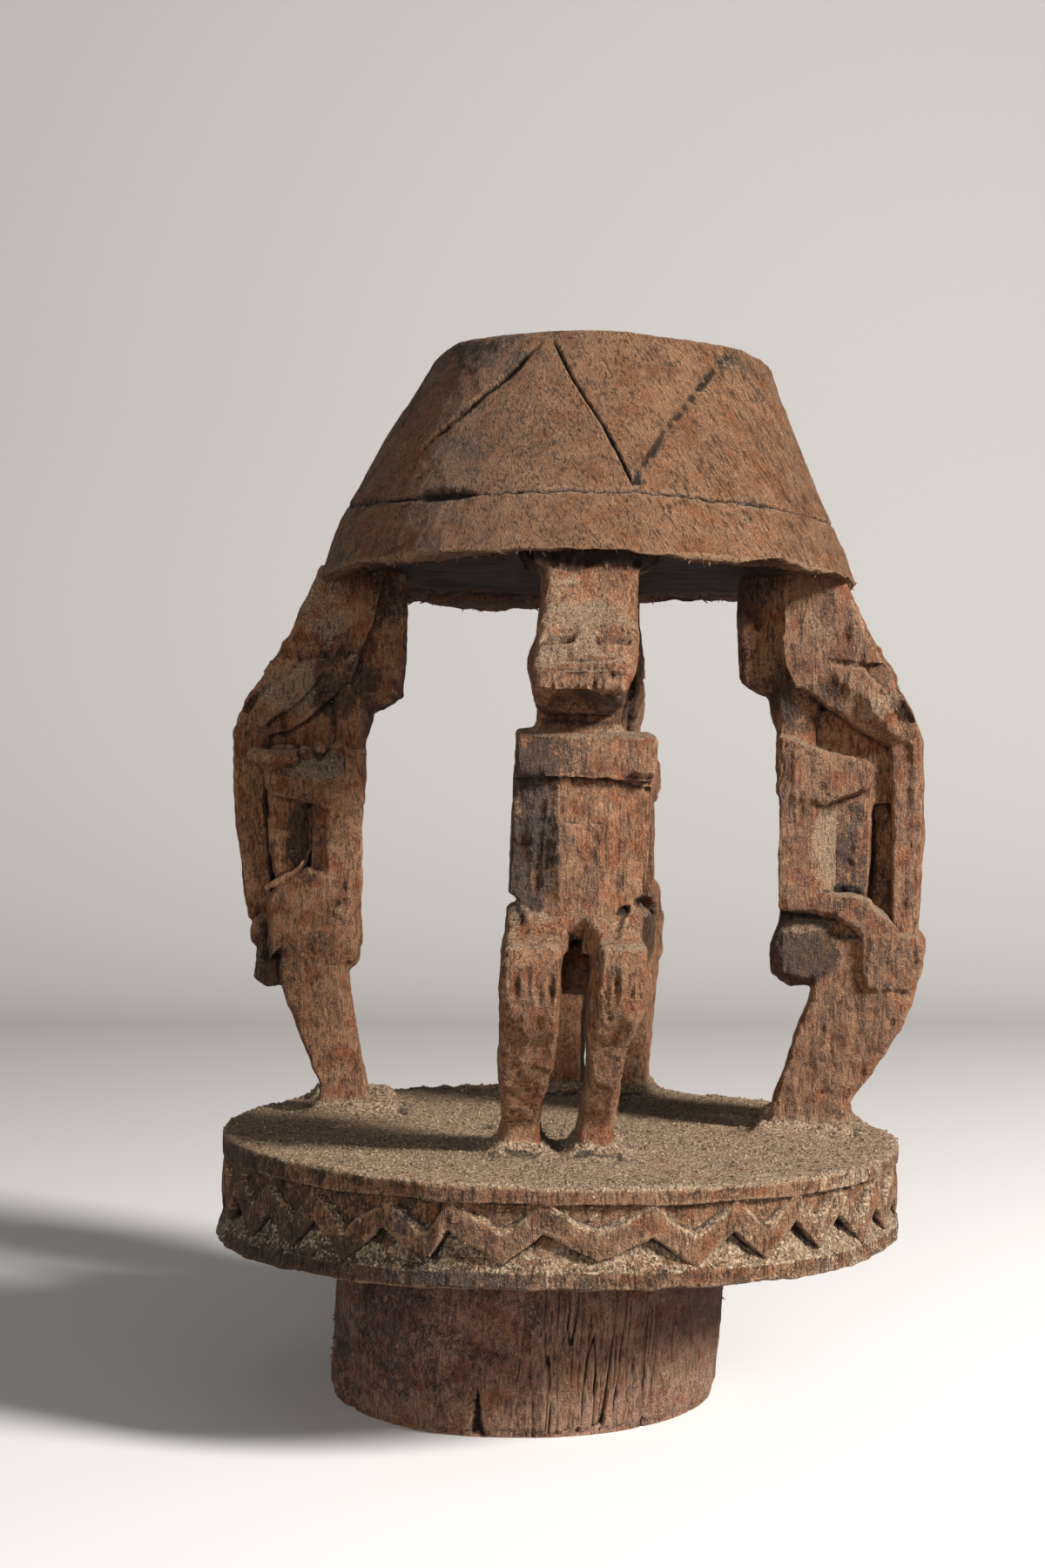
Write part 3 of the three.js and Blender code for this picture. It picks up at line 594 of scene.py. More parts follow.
# A hand that hangs over the knee, with clefts between its fingers in front and round the side
def carve_hand(body, side, figure):
    tip, low, inward = FINGERTIPS * figure["hand"], figure["hand_low"], figure["hand_inward"]
    right, left = side_span(side, 1.2, 17.1 - inward)
    back = 22.6 + 0.9 * inward
    hand = [(low, right, left, back + 1.6, tip - 3.4), (low + 3, right, left, back + 0.4, tip - 1.2),
            (42.6, right, left, back, tip - 0.4 - 0.35 * inward), (44.4, right, left, back, tip - 0.2),
            (48, right, left, back, tip - 0.1), (51.4, right, left, back + 0.6, tip - 1.6)]
    body.post(hand, 1.5, 0.7)
    pitch = (15.9 - inward) / 4
    for finger in (1, 2, 3):
        across = side * (1.2 + finger * pitch + 0.3 * math.sin(7 * finger + figure["seed"]))
        path = [(across, tip + 0.4, 48 - 1.2 * (finger % 2)), (across, tip + 0.2, 43),
                (across * 0.97, tip - 2.4, low - 0.4)]
        body.gouge(path, 1.0, 0.25)
    for finger in range(4):
        out = 24.2 + 2.4 * finger
        end = low - 0.6 + 0.9 * (finger % 2)
        edge = side * (17.5 - inward)
        body.gouge([(edge, out + 0.6, 51), (edge + side * 0.1, out, end)], 0.75, 0.2)
    # Notch between the knuckles and the fingertips
    body.gouge(beside(side, (1.2, tip + 1, 44.2), (15.5, tip + 0.8, 43.6)), 1.5, 0.3)
    body.gouge(beside(side, (18 - inward, tip - 6, 43.4), (17.4 - inward, tip + 0.6, 43.8)), 1.3, 0.3)


# The front figure's hands lie flat on the knees and run on into the shins, with short slots between fingers
def carve_front_hand(body, side):
    inner, outer = (3.3, 16.9) if side < 0 else (5.1, 16)
    tip = FINGERTIPS
    rows = []
    for up, narrower, out in ((29, 2.4, tip - 6), (34, 1, tip - 3), (40, 0, tip - 1), (46, 0, tip - 0.6),
                              (50.8, 0.3, tip - 2.6)):
        rows.append((up, *side_span(side, inner, outer - narrower), 22, out))
    body.post(rows, 1.6, 2.2)
    if side < 0:
        slots = ((-10.9, 41.4, 35), (-8.4, 42, 35.4), (-13.6, 40, 36), (-5.8, 41, 37))
    else:
        slots = ((12.2, 42, 36), (14.2, 41.6, 34.6), (9, 41, 36.6), (6.8, 40.4, 37))
    for across, top, low in slots:
        body.gouge([(across, tip + 0.2, top), (across, tip - 1, low)], 1.25, 0.15)
        body.gouge([(across, tip + 0.3, 48), (across + 0.3, tip - 2.4, low - 6)], 0.8, 0.3)


def carve_figure(figure):
    body = Carving()
    carve_torso(body, figure)
    carve_shoulders(body, figure)
    for side in SIDES:
        carve_leg(body, side, figure)
    carve_hips(body, figure)
    if figure["bearded"]:
        for side in SIDES:
            carve_arm(body, side, figure)
            carve_hand(body, side, figure)
    else:
        carve_front_body(body)
        for side in SIDES:
            carve_front_hand(body, side)
    carve_neck(body, figure)
    carve_head(body, figure)
    if figure["bearded"]:
        carve_beard(body)
    else:
        carve_chin_scar(body)
        # Crumbled band where the crown meets the bowl
        band = [(137.6, -13.4, 12.4, -3.4, 16.8), (140, -15.8, 15.4, -4.4, 18.2),
                (143.5, -16.6, 16.8, -5, 19)]
        body.post(band, 1.5, 1.4)
        chips = ((15.2, 16.4, 139.8, 2.2), (-15.4, 16, 141, 1.8), (11, 19, 138.6, 1.6), (-9, 18.6, 139, 1.4))
        for x, out, up, size in chips:
            body.cut(ellipsoid((x, out, up), (size, size * 1.6, size * 1.2)), 0.3)
    if figure["flush"]:
        # Ridge round the niche, and dirt caked on the ledge of the shoulder
        ridge = [(10.4, 18.4, 79.4), (10.8, 18.7, 69), (12, 21, 65.2), (14.4, 24.6, 62.8), (16.4, 31, 58.8)]
        body.rod(ridge, 0.9, 0.4)
        dirt = ((14, 29, 92.6, 2.6), (11, 31.5, 93.6, 2.4), (14.6, 25, 93.2, 2), (12, 20, 94.6, 2.2),
                (14, 15, 95.4, 1.8), (9, 26, 94.6, 2.6))
        for x, out, up, size in dirt:
            body.add(ellipsoid((x, out, up), (size, size * 1.2, size * 0.9)), 1.2)
    # Daylight between the shins
    if figure["bearded"]:
        gap = [(-6, -3.3, 3.3, -9, 42), (30, -3.2, 3.2, -9, 42), (36.4, -2.2, 2.2, -9, 42)]
        body.cut(upright(gap, corner=1.2), 0.6)
    else:
        gap = [(-6, -4.4, 1.4, -9, 42), (8, -4.4, 2, -9, 42), (20, -3.8, 3.2, -9, 42),
               (34.8, -3, 2.4, -9, 42)]
        body.cut(upright(gap, corner=2.6), 0.6)
        body.cut(upright([(28, -3.0, 2.6, 15.2, 42), (48, -2.8, 3.4, 15.2, 42)], corner=1.4), 0.8)
    return body


def normals_of(points, quads):
    across = points[quads[:, 2]] - points[quads[:, 0]]
    along = points[quads[:, 3]] - points[quads[:, 1]]
    faces = np.cross(across, along)
    normals = np.zeros_like(points)
    for corner in range(4):
        np.add.at(normals, quads[:, corner], faces)
    return normals / np.maximum(np.linalg.norm(normals, axis=1, keepdims=True), 1e-9)


# Faces turned round where they point into the wood
def outward(points, quads):
    corners = [points[quads[:, corner]] for corner in range(4)]
    halves = ((corners[0], corners[1], corners[2]), (corners[0], corners[2], corners[3]))
    volume = sum(np.einsum("ij,ij->i", a, np.cross(b, c)).sum() for a, b, c in halves)
    return quads[:, ::-1] if volume < 0 else quads


def edges_of(quads):
    return np.vstack([quads[:, [corner, (corner + 1) % 4]] for corner in range(4)])


# Draws every point towards its neighbours, or a value kept at the points
def relaxed(values, edges, rounds, share=0.5):
    count = np.maximum(np.bincount(edges.ravel(), minlength=len(values)), 1)
    for _ in range(rounds):
        total = np.zeros_like(values)
        np.add.at(total, edges[:, 0], values[edges[:, 1]])
        np.add.at(total, edges[:, 1], values[edges[:, 0]])
        mean = total / (count[:, None] if values.ndim == 2 else count)
        values = values + share * (mean - values)
    return values


# Shallow scoops of the adze: each tool stroke leaves a hollow, with ridges where two meet
def scoops(points, normals, size, depth, length, seed):
    random = np.random.default_rng(seed)
    squash = np.array([1, 1, 1 / length])
    spread = np.ptp(points, axis=0)
    area = 2 * (spread[0] * spread[2] + spread[1] * spread[2]) + spread[0] * spread[1]
    count = min(len(points), max(24, int(area / (size * size * length))))
    seeds = points[random.choice(len(points), count, replace=False)] * squash
    tree = kdtree.KDTree(count)
    for number, seed_point in enumerate(seeds):
        tree.insert(seed_point, number)
    tree.balance()
    away = np.array([tree.find(point)[2] for point in points * squash])
    hollow = np.minimum((away / size) ** 2, 1.0)
    return points + normals * (depth * (hollow - 1))[:, None]


# A new object with its data, linked into the scene
def placed(name, data):
    thing = bpy.data.objects.new(name, data)
    bpy.context.scene.collection.objects.link(thing)
    return thing


def add_masks(mesh, masks):
    for label, values in masks.items():
        values = np.broadcast_to(values, len(mesh.vertices))
        layer = mesh.attributes.new(label, "FLOAT", "POINT")
        layer.data.foreach_set("value", np.clip(values, 0, 1).astype(np.float32))


# Thins a carved piece until it holds no more triangles than MOST_TRIANGLES
def thin(piece):
    count = sum(len(face.vertices) - 2 for face in piece.data.polygons)
    if count <= MOST_TRIANGLES:
        return
    modifier = piece.modifiers.new("thin", "DECIMATE")
    modifier.ratio = MOST_TRIANGLES / count
    evaluated = piece.evaluated_get(bpy.context.evaluated_depsgraph_get())
    mesh = bpy.data.meshes.new_from_object(evaluated)
    piece.modifiers.remove(modifier)
    full = piece.data
    piece.data = mesh
    bpy.data.meshes.remove(full)
    mesh.name = piece.name
    mesh.shade_smooth()


# A finished piece in metres, with its masks as point attributes, which stands for these nodes
def finish_piece(name, points, faces, masks, wood, nodes):
    mesh = bpy.data.meshes.new(name)
    mesh.from_pydata((points * METRES).tolist(), [], faces)
    add_masks(mesh, masks)
    mesh.validate()
    mesh.shade_smooth()
    mesh.materials.append(wood)
    piece = placed(name, mesh)
    thin(piece)
    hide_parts(*nodes)
    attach(piece, "root")
    return piece


def lean_matrix():
    return Matrix.Translation((PLATFORM_SHIFT, 0, FOOT_HEIGHT)) @ Matrix.Rotation(LEAN, 4, "Y")


def ring_matrix():
    return lean_matrix() @ Matrix.Translation((RING_RIGHT, RING_BACK, PLATFORM_HEIGHT))


# From a figure's own millimetres to the frame's
def figure_matrix(figure):
    chest_middle = (CHEST_BACK + CHEST_FRONT) / 2
    back_line = RIM_RADIUS - RIM_OVERHANG - CROWN_FRONT - figure["inward"]
    sway = Matrix.Identity(4)
    sway[0][2] = figure["sway_left"] / FIGURE_HEIGHT
    sway[1][2] = -figure["sway_out"] / FIGURE_HEIGHT
    return (
        ring_matrix()
        @ Matrix.Rotation(math.radians(figure["place"]), 4, "Z")
        @ Matrix.Translation((0, -back_line - chest_middle, 0))
        @ Matrix.Rotation(math.radians(figure["facing"]), 4, "Z")
        @ Matrix.Translation((0, chest_middle, 0))
        @ sway
        @ Matrix.Diagonal((1, -1, 1, 1))
    )


def moved(points, matrix):
    table = np.array(matrix)
    return points @ table[:3, :3].T + table[:3, 3]


# The body thinned from behind and its chin bowed out, as in the frame
def reshaped(points, figure):
    out, up = points[:, 1], points[:, 2]
    back_share = np.clip(1 - out / CHEST_FRONT, 0, 1)
    front_share = np.clip((out - CHEST_FRONT) / (BEARD_BACK - CHEST_FRONT), 0, 1)
    climb = np.clip((up - HAND_TOP) / (FIGURE_HEIGHT - HAND_TOP), 0, 1)
    result = points.copy()
    result[:, 1] = out + figure["slim"] * back_share + figure["bow"] * front_share * np.sin(math.pi * climb)
    return result


# How shut in each point is, from how fast the wood comes near along its normal
def shut_in(body, points, normals):
    total = np.zeros(len(points))
    for distance, weight in ((0.9, 0.22), (1.8, 0.28), (3.6, 0.28), (6.5, 0.22)):
        clear = body.at(points + normals * distance)
        total += weight * np.clip(1 - clear / distance, 0, 1)
    return total


# Where the surface is a ridge (1) or a crease (0), and 0.5 where it is flat
def edge_mask(points, quads, fine=0.12, coarse=0.5):
    edges, normals = edges_of(quads), normals_of(points, quads)
    near = relaxed(points, edges, 1, 1.0)
    far = relaxed(points, edges, 8, 0.8)
    bent = ((near - points) * normals).sum(1) / fine + ((far - points) * normals).sum(1) / coarse
    return np.clip(0.5 - 0.25 * bent, 0, 1)


def figure_masks(points, normals, hollow, figure):
    seed = figure["seed"]
    coarse = rough(points, 9, seed + 5)
    mottled = rough(points, 4, seed + 6)
    up, out, side = points[:, 2], points[:, 1], np.abs(points[:, 0])
    middle = points * np.array([0, 1, 1])
    sideways, facing_out, facing_up = np.abs(normals[:, 0]), normals[:, 1], normals[:, 2]
    lying = smooth_step(0.3, 0.8, facing_up)
    open_air = 1 - smooth_step(0.5, 0.8, hollow)
    ankle = 1 - smooth_step(0.5, 7, up + 1.5 * mottled)
    dust = 0.75 * lying + 1.1 * ankle
    patina = 0.16 + 0.34 * hollow
    if figure["bearded"]:
        scoop = hill(middle, (0, figure["arm_depth"] + 4.5, 70), (60, 4.2, 14), 1.25)
        scoop = scoop * smooth_step(0.2, 0.5, facing_out) * (not figure["flush"])
        wall = hill(middle, (0, 20, 72), (60, 6, 11), 1.25) * smooth_step(0.7, 0.9, sideways)
        cheek = hill(points, (0, 24.5, 111.6), (30, 6.4, 6))
        brow = hill(points, (0, 13, 133), (30, 9, 7), 1.4)
        trench = hill(middle, (0, 14, 56), (60, 11, 3)) * smooth_step(-0.2, 0.5, facing_up)
        dust = dust + 0.85 * scoop + 0.55 * cheek * open_air + 0.42 * brow * open_air + 0.6 * trench
        # The throat under the jaw and the hair behind the head are darkened: painted shade
        patina = patina + (0.35 + 0.25 * figure["flush"]) * wall + 0.3 * hill(points, (0, 8, 112), (30, 9, 8))
        patina = patina + 0.2 * (1 - smooth_step(-4, 1, out)) * (up > 100) - 0.15 * cheek
        patina = patina + (0.1 if figure["flush"] else 0.55) * hill(middle, (0, 4, 46), (60, 10, 8))
        if figure["flush"]:
            # A coat of old grey-green dirt over the head, which also stands in for the shade under the bowl,
            # and hands darkened as painted shade
            patina = patina + 0.14 * smooth_step(96, 112, up) + 0.4 * hill(points, (0, 30, 40), (30, 7, 8))
            bevel = hill(points, (0, 18, 91), (30, 13, 5), 1.2) * smooth_step(0.2, 0.5, facing_up)
            dust = dust + 0.3 * smooth_step(100, 118, up) + 0.3 * bevel
            patina = patina + 0.35 * bevel
    else:
        face = smooth_step(112, 117, up) * smooth_step(0.3, 0.7, facing_out)
        dust = dust + 0.36 * face + 0.2 * face * smooth_step(0, 0.6, coarse)
        # A darker patch on the chest, arm and shoulder at the figure's right, the side turned from the light:
        # olive stain, and painted shade
        stain_and_shade = hill(points, (-12, 22, 74), (5, 9, 15), 1.9)
        stain_and_shade = stain_and_shade + 0.7 * hill(points, (-10, 22, 93), (7, 9, 4), 1.8)
        # Darker under the chin and round the neck, where faces do not turn up: painted shade
        patina = patina + 0.55 * stain_and_shade + 0.25 * hill(points, (0, 10, 106), (30, 20, 7), 1.4) * (1 - lying)
        # The crown's edge under the bowl is darkened: grime, and painted shade under the bowl's rim
        crown = smooth_step(137, 139.5, up + 1.2 * mottled)
        patina = patina + 1.3 * crown
        dust = dust - 0.25 * stain_and_shade - 1.5 * crown
        lap = hill(points, (0, 29, 54), (18, 9, 5), 1.3)
        dust = dust + 0.24 * lap - 0.5 * lap * smooth_step(2, 9, np.abs(side - 10) + 2 * (out - 26))
    dust = dust * (0.8 + 0.5 * coarse) + 0.2 * mottled
    patina = patina + 0.24 * coarse + 0.14 * mottled
    hollow = hollow * smooth_step(1, 5, up)
    # The crown's edge is also darkened through the hollow mask: painted shade under the bowl
    if not figure["bearded"]:
        hollow = np.maximum(hollow, 0.85 * smooth_step(137.4, 139.4, up + 1.4 * mottled))
    return dict(dust=dust, patina=patina * smooth_step(0, 4, up), hollow=hollow)


def make_figure(name, figure, wood):
    body = carve_figure(figure)
    points, quads = body.surface()
    quads = outward(points, quads)
    edges = edges_of(quads)
    points = relaxed(points, edges, 1, 0.35)
    normals = normals_of(points, quads)
    # The hollow mask: how shut in each point is, by which the wood is painted darker, as shade in recesses
    hollow = relaxed(shut_in(body, points, normals), edges, 3)
    masks = figure_masks(points, normals, hollow, figure)
    seed = figure["seed"]
    up = points[:, 2]
    uneven = layered(points, (0.4, 13, seed), (0.28, 5, seed + 1), (0.18, 2.2, seed + 7))
    fibres = layered(points, (0.17, 1.1, seed + 2, 5), (0.08, 0.9, seed + 9))
    chips = -0.25 * smooth_step(0.5, 0.85, rough(points, 2.6, seed + 4)) * smooth_step(0.1, 0.4, 0.5 - hollow)
    # Clefts along the grain, here and there
    bent = wandered(points, 0.6, 7, seed + 15)
    cleft = np.clip(1 - np.abs(rough(bent, 3.0, seed + 14, stretch=7)) / 0.06, 0, 1)
    clefts = -0.3 * cleft * smooth_step(0.15, 0.6, rough(points, 9, seed + 17))
    crumbled = (smooth_step(137, 139, up) * (not figure["bearded"])) + 0.7 * (1 - smooth_step(0.5, 4, up))
    crumbs = crumbled * layered(points, (1.1, 3.2, seed + 12), (0.7, 1.5, seed + 13)) + clefts
    points = scoops(points, normals, 3.6, 0.42, 3.4, seed + 3)
    points = points + normals * (uneven + fibres + chips + crumbs)[:, None]
    masks["edge"] = edge_mask(points, quads, 0.09, 0.4)
    points = moved(reshaped(points, figure), figure_matrix(figure))
    faces = outward(points, quads).tolist()
    nodes = [f"{name}_{member}" for member in MEMBERS] + ([f"{name}_beard"] if figure["bearded"] else [])
    finish_piece(f"carved_{name}", points, faces, masks, wood, nodes)


# A crumb is a rough lump of twenty faces and one unit across, and a splinter is one drawn out thin and bowed
def bit_mesh(kind, seed):
    random = np.random.default_rng(seed)
    work = bmesh.new()
    bmesh.ops.create_icosphere(work, subdivisions=1, radius=0.5)
    for corner in work.verts:
        corner.co *= 1 + random.uniform(-0.22, 0.22)
        if kind == "splinter":
            along = corner.co.z
            corner.co.x = 0.15 * corner.co.x + 0.34 * along * along
            corner.co.y = 0.12 * corner.co.y
    bmesh.ops.recalc_face_normals(work, faces=work.faces)
    mesh = bpy.data.meshes.new(kind)
    work.to_mesh(mesh)
    work.free()
    return mesh


# Tree that scatters one small shape over a surface, as thickly as the surface's own mask says
def scatter_tree():
    tree, given, result = new_group(
        "scattered_bits", "GeometryNodeTree",
        dict(Surface="Geometry", Bit="Object", Density="Float", Smallest="Float", Largest="Float",
             Lean="Float", Seed="Int", Material="Material"),
        dict(Bits="Geometry"),
    )
    mask = node(tree, "GeometryNodeInputNamedAttribute", {"Name": "loose"}, data_type="FLOAT")
    spots = node(tree, "GeometryNodeDistributePointsOnFaces", {
        "Mesh": given["Surface"], "Density": times(tree, mask.outputs["Attribute"], given["Density"]),
        "Seed": given["Seed"],
    })
    bit = node(tree, "GeometryNodeObjectInfo", {"Object": given["Bit"]})
    least, most = (
        node(tree, "ShaderNodeCombineXYZ", {"X": lean, "Y": lean, "Z": lean}).outputs[0]
        for lean in (times(tree, given["Lean"], -1.0), given["Lean"])
    )
    turn = node(tree, "FunctionNodeRandomValue", {
        0: least, 1: most, "Seed": given["Seed"],
    }, data_type="FLOAT_VECTOR")
    size = node(tree, "FunctionNodeRandomValue", {
        2: given["Smallest"], 3: given["Largest"], "Seed": given["Seed"],
    }, data_type="FLOAT")
    instances = node(tree, "GeometryNodeInstanceOnPoints", {
        "Points": spots.outputs["Points"], "Instance": bit.outputs["Geometry"],
        "Rotation": turn.outputs[0], "Scale": size.outputs[1],
    })
    real = node(tree, "GeometryNodeRealizeInstances", {"Geometry": instances.outputs["Instances"]})
    dressed = node(tree, "GeometryNodeSetMaterial", {
        "Geometry": real.outputs["Geometry"], "Material": given["Material"],
    })
    tree.links.new(dressed.outputs["Geometry"], result["Bits"])
    return tree


# Scatters crumbs or splinters over a piece, as a mesh of their own. Density, Smallest, Largest, Lean and Seed
# are the tree's inputs
def scatter(piece, name, kind, wood, slot, **inputs):
    tree = scatter_tree()
    bit = placed(kind, bit_mesh(kind, inputs["Seed"]))
    host = placed("host", piece.data)
    modifier = host.modifiers.new("scatter", "NODES")
    modifier.node_group = tree
    inputs.update(Bit=bit, Material=wood)
    for item in tree.interface.items_tree:
        if item.in_out == "INPUT" and item.name in inputs:
            modifier[item.identifier] = inputs[item.name]
    evaluated = host.evaluated_get(bpy.context.evaluated_depsgraph_get())
    mesh = bpy.data.meshes.new_from_object(evaluated)
    host.modifiers.remove(modifier)
    for thing in (host, bit):
        bpy.data.objects.remove(thing)
    mesh.name = name
    add_masks(mesh, dict(dust=0.95, patina=0.1, hollow=0.0, edge=0.5))
    bits = placed(name, mesh)
    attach(bits, "root")


# A closed body from rings of points, the first and last drawn together in their middles: its points, its
# quads, and all its faces
def ringed(rings):
    count, columns = rings.shape[:2]
    points = np.vstack([rings.reshape(-1, 3), rings[0].mean(0), rings[-1].mean(0)])
    index = np.arange(count * columns).reshape(count, columns)
    after = np.roll(index, -1, axis=1)
    quads = np.stack([index[:-1], after[:-1], after[1:], index[1:]], -1).reshape(-1, 4)
    first, last = len(points) - 2, len(points) - 1
    ends = [(first, b, a) for a, b in zip(index[0].tolist(), after[0].tolist())]
    ends += [(last, a, b) for a, b in zip(index[-1].tolist(), after[-1].tolist())]
    return points, quads, quads.tolist() + ends


# Points at these bearings, radii and heights. Bearing 0 faces the camera, and a quarter turn faces right
def around(angle, radius, up):
    angle, radius, up = np.broadcast_arrays(angle, radius, up)
    return np.stack([radius * np.sin(angle), -radius * np.cos(angle), up], -1)


# Even bearings all the way round, and points at them on an edge of this radius
def full_turn(columns, radius):
    angle = np.arange(columns) / columns * 2 * math.pi
    return angle, around(angle, radius, 0.0)


def bearings_of(points):
    return np.arctan2(points[:, 0], -points[:, 1])


# How far bearings are from one given in degrees, the short way round
def turn_from(angle, degrees):
    return np.abs((angle - math.radians(degrees) + math.pi) % (2 * math.pi) - math.pi)


# 1 within the first distance of a bearing, 0 beyond the second
def near_bearing(angle, degrees, full, gone):
    return 1 - smooth_step(full, gone, turn_from(angle, degrees))


# The frieze is turned a little, and its corners in front have bearings of their own: peaks are odd, valleys
# even
FRIEZE_TURN = 4.1
FRONT_CORNERS = (
    (-7, -42.2), (-6, -35.6), (-5, -28.2), (-4, -21), (-3, -17.6), (-2, -9.2), (-1, -3.2), (0, 5), (1, 13.2),
    (2, 20), (3, 26.6), (4, 32.4), (5, 38.4), (6, 44),
)
# How much lower the platform's rim hangs in places, by bearing
RIM_HANG = (
    (-180, 0.9), (-100, 3.6), (-80, 4.6), (-54, 4.3), (-43, 3.1), (-34, 2.8), (-26, 2.3), (-19, 1.8),
    (-5, 1.1), (10, 0.9), (90, 1.0), (180, 0.9),
)
# The zigzag strip's rise from valley to peak, and its height
STRIP_RISE = 6.8
STRIP_TALL = 6.1
# Height of the dirt heaped round the soles
SOLE_MOUND = 3.4


def by_bearing(bearings, table):
    return looked_up((np.degrees(bearings) + 180) % 360 - 180, table)


# The frieze's zigzag: 0 in its valleys and 1 at its peaks, with every corner a little off
def zigzag(angle, seed):
    random = np.random.default_rng(seed)
    corners = 2 * FRIEZE_PERIODS
    bearings = (np.arange(corners) + random.uniform(-0.12, 0.12, corners)) * 180 / FRIEZE_PERIODS
    bearings = bearings + FRIEZE_TURN
    heights = np.arange(corners) % 2 + random.uniform(-0.1, 0.1, corners)
    for number, bearing in FRONT_CORNERS:
        bearings[number % corners] = bearing % 360
    bearings = np.radians(np.concatenate([bearings, bearings + 360, bearings - 360]))
    order = np.argsort(bearings)
    return np.interp(angle, bearings[order], np.tile(heights, 3)[order])


# How near a point of the ring's floor is to a sole: 1 at the sole, fading outwards
def at_soles(points):
    nearness = np.zeros(len(points))
    floor = np.column_stack([points[:, :2], np.full(len(points), PLATFORM_HEIGHT)])
    for figure in FIGURES.values():
        on_platform = lean_matrix().inverted() @ figure_matrix(figure)
        own = moved(floor, on_platform.inverted())
        for side in SIDES:
            middle = side * 9.6 if figure["bearded"] else side * 9 - 1.6
            across = np.abs(own[:, 0] - middle) - 4.6
            along = np.abs(own[:, 1] - 9) - 9.5
            away = np.hypot(np.maximum(across, 0), np.maximum(along, 0))
            away = away + np.minimum(np.maximum(across, along), 0)
            nearness = np.maximum(nearness, np.exp(-np.maximum(away - 0.6, 0) / 2.9))
    return nearness


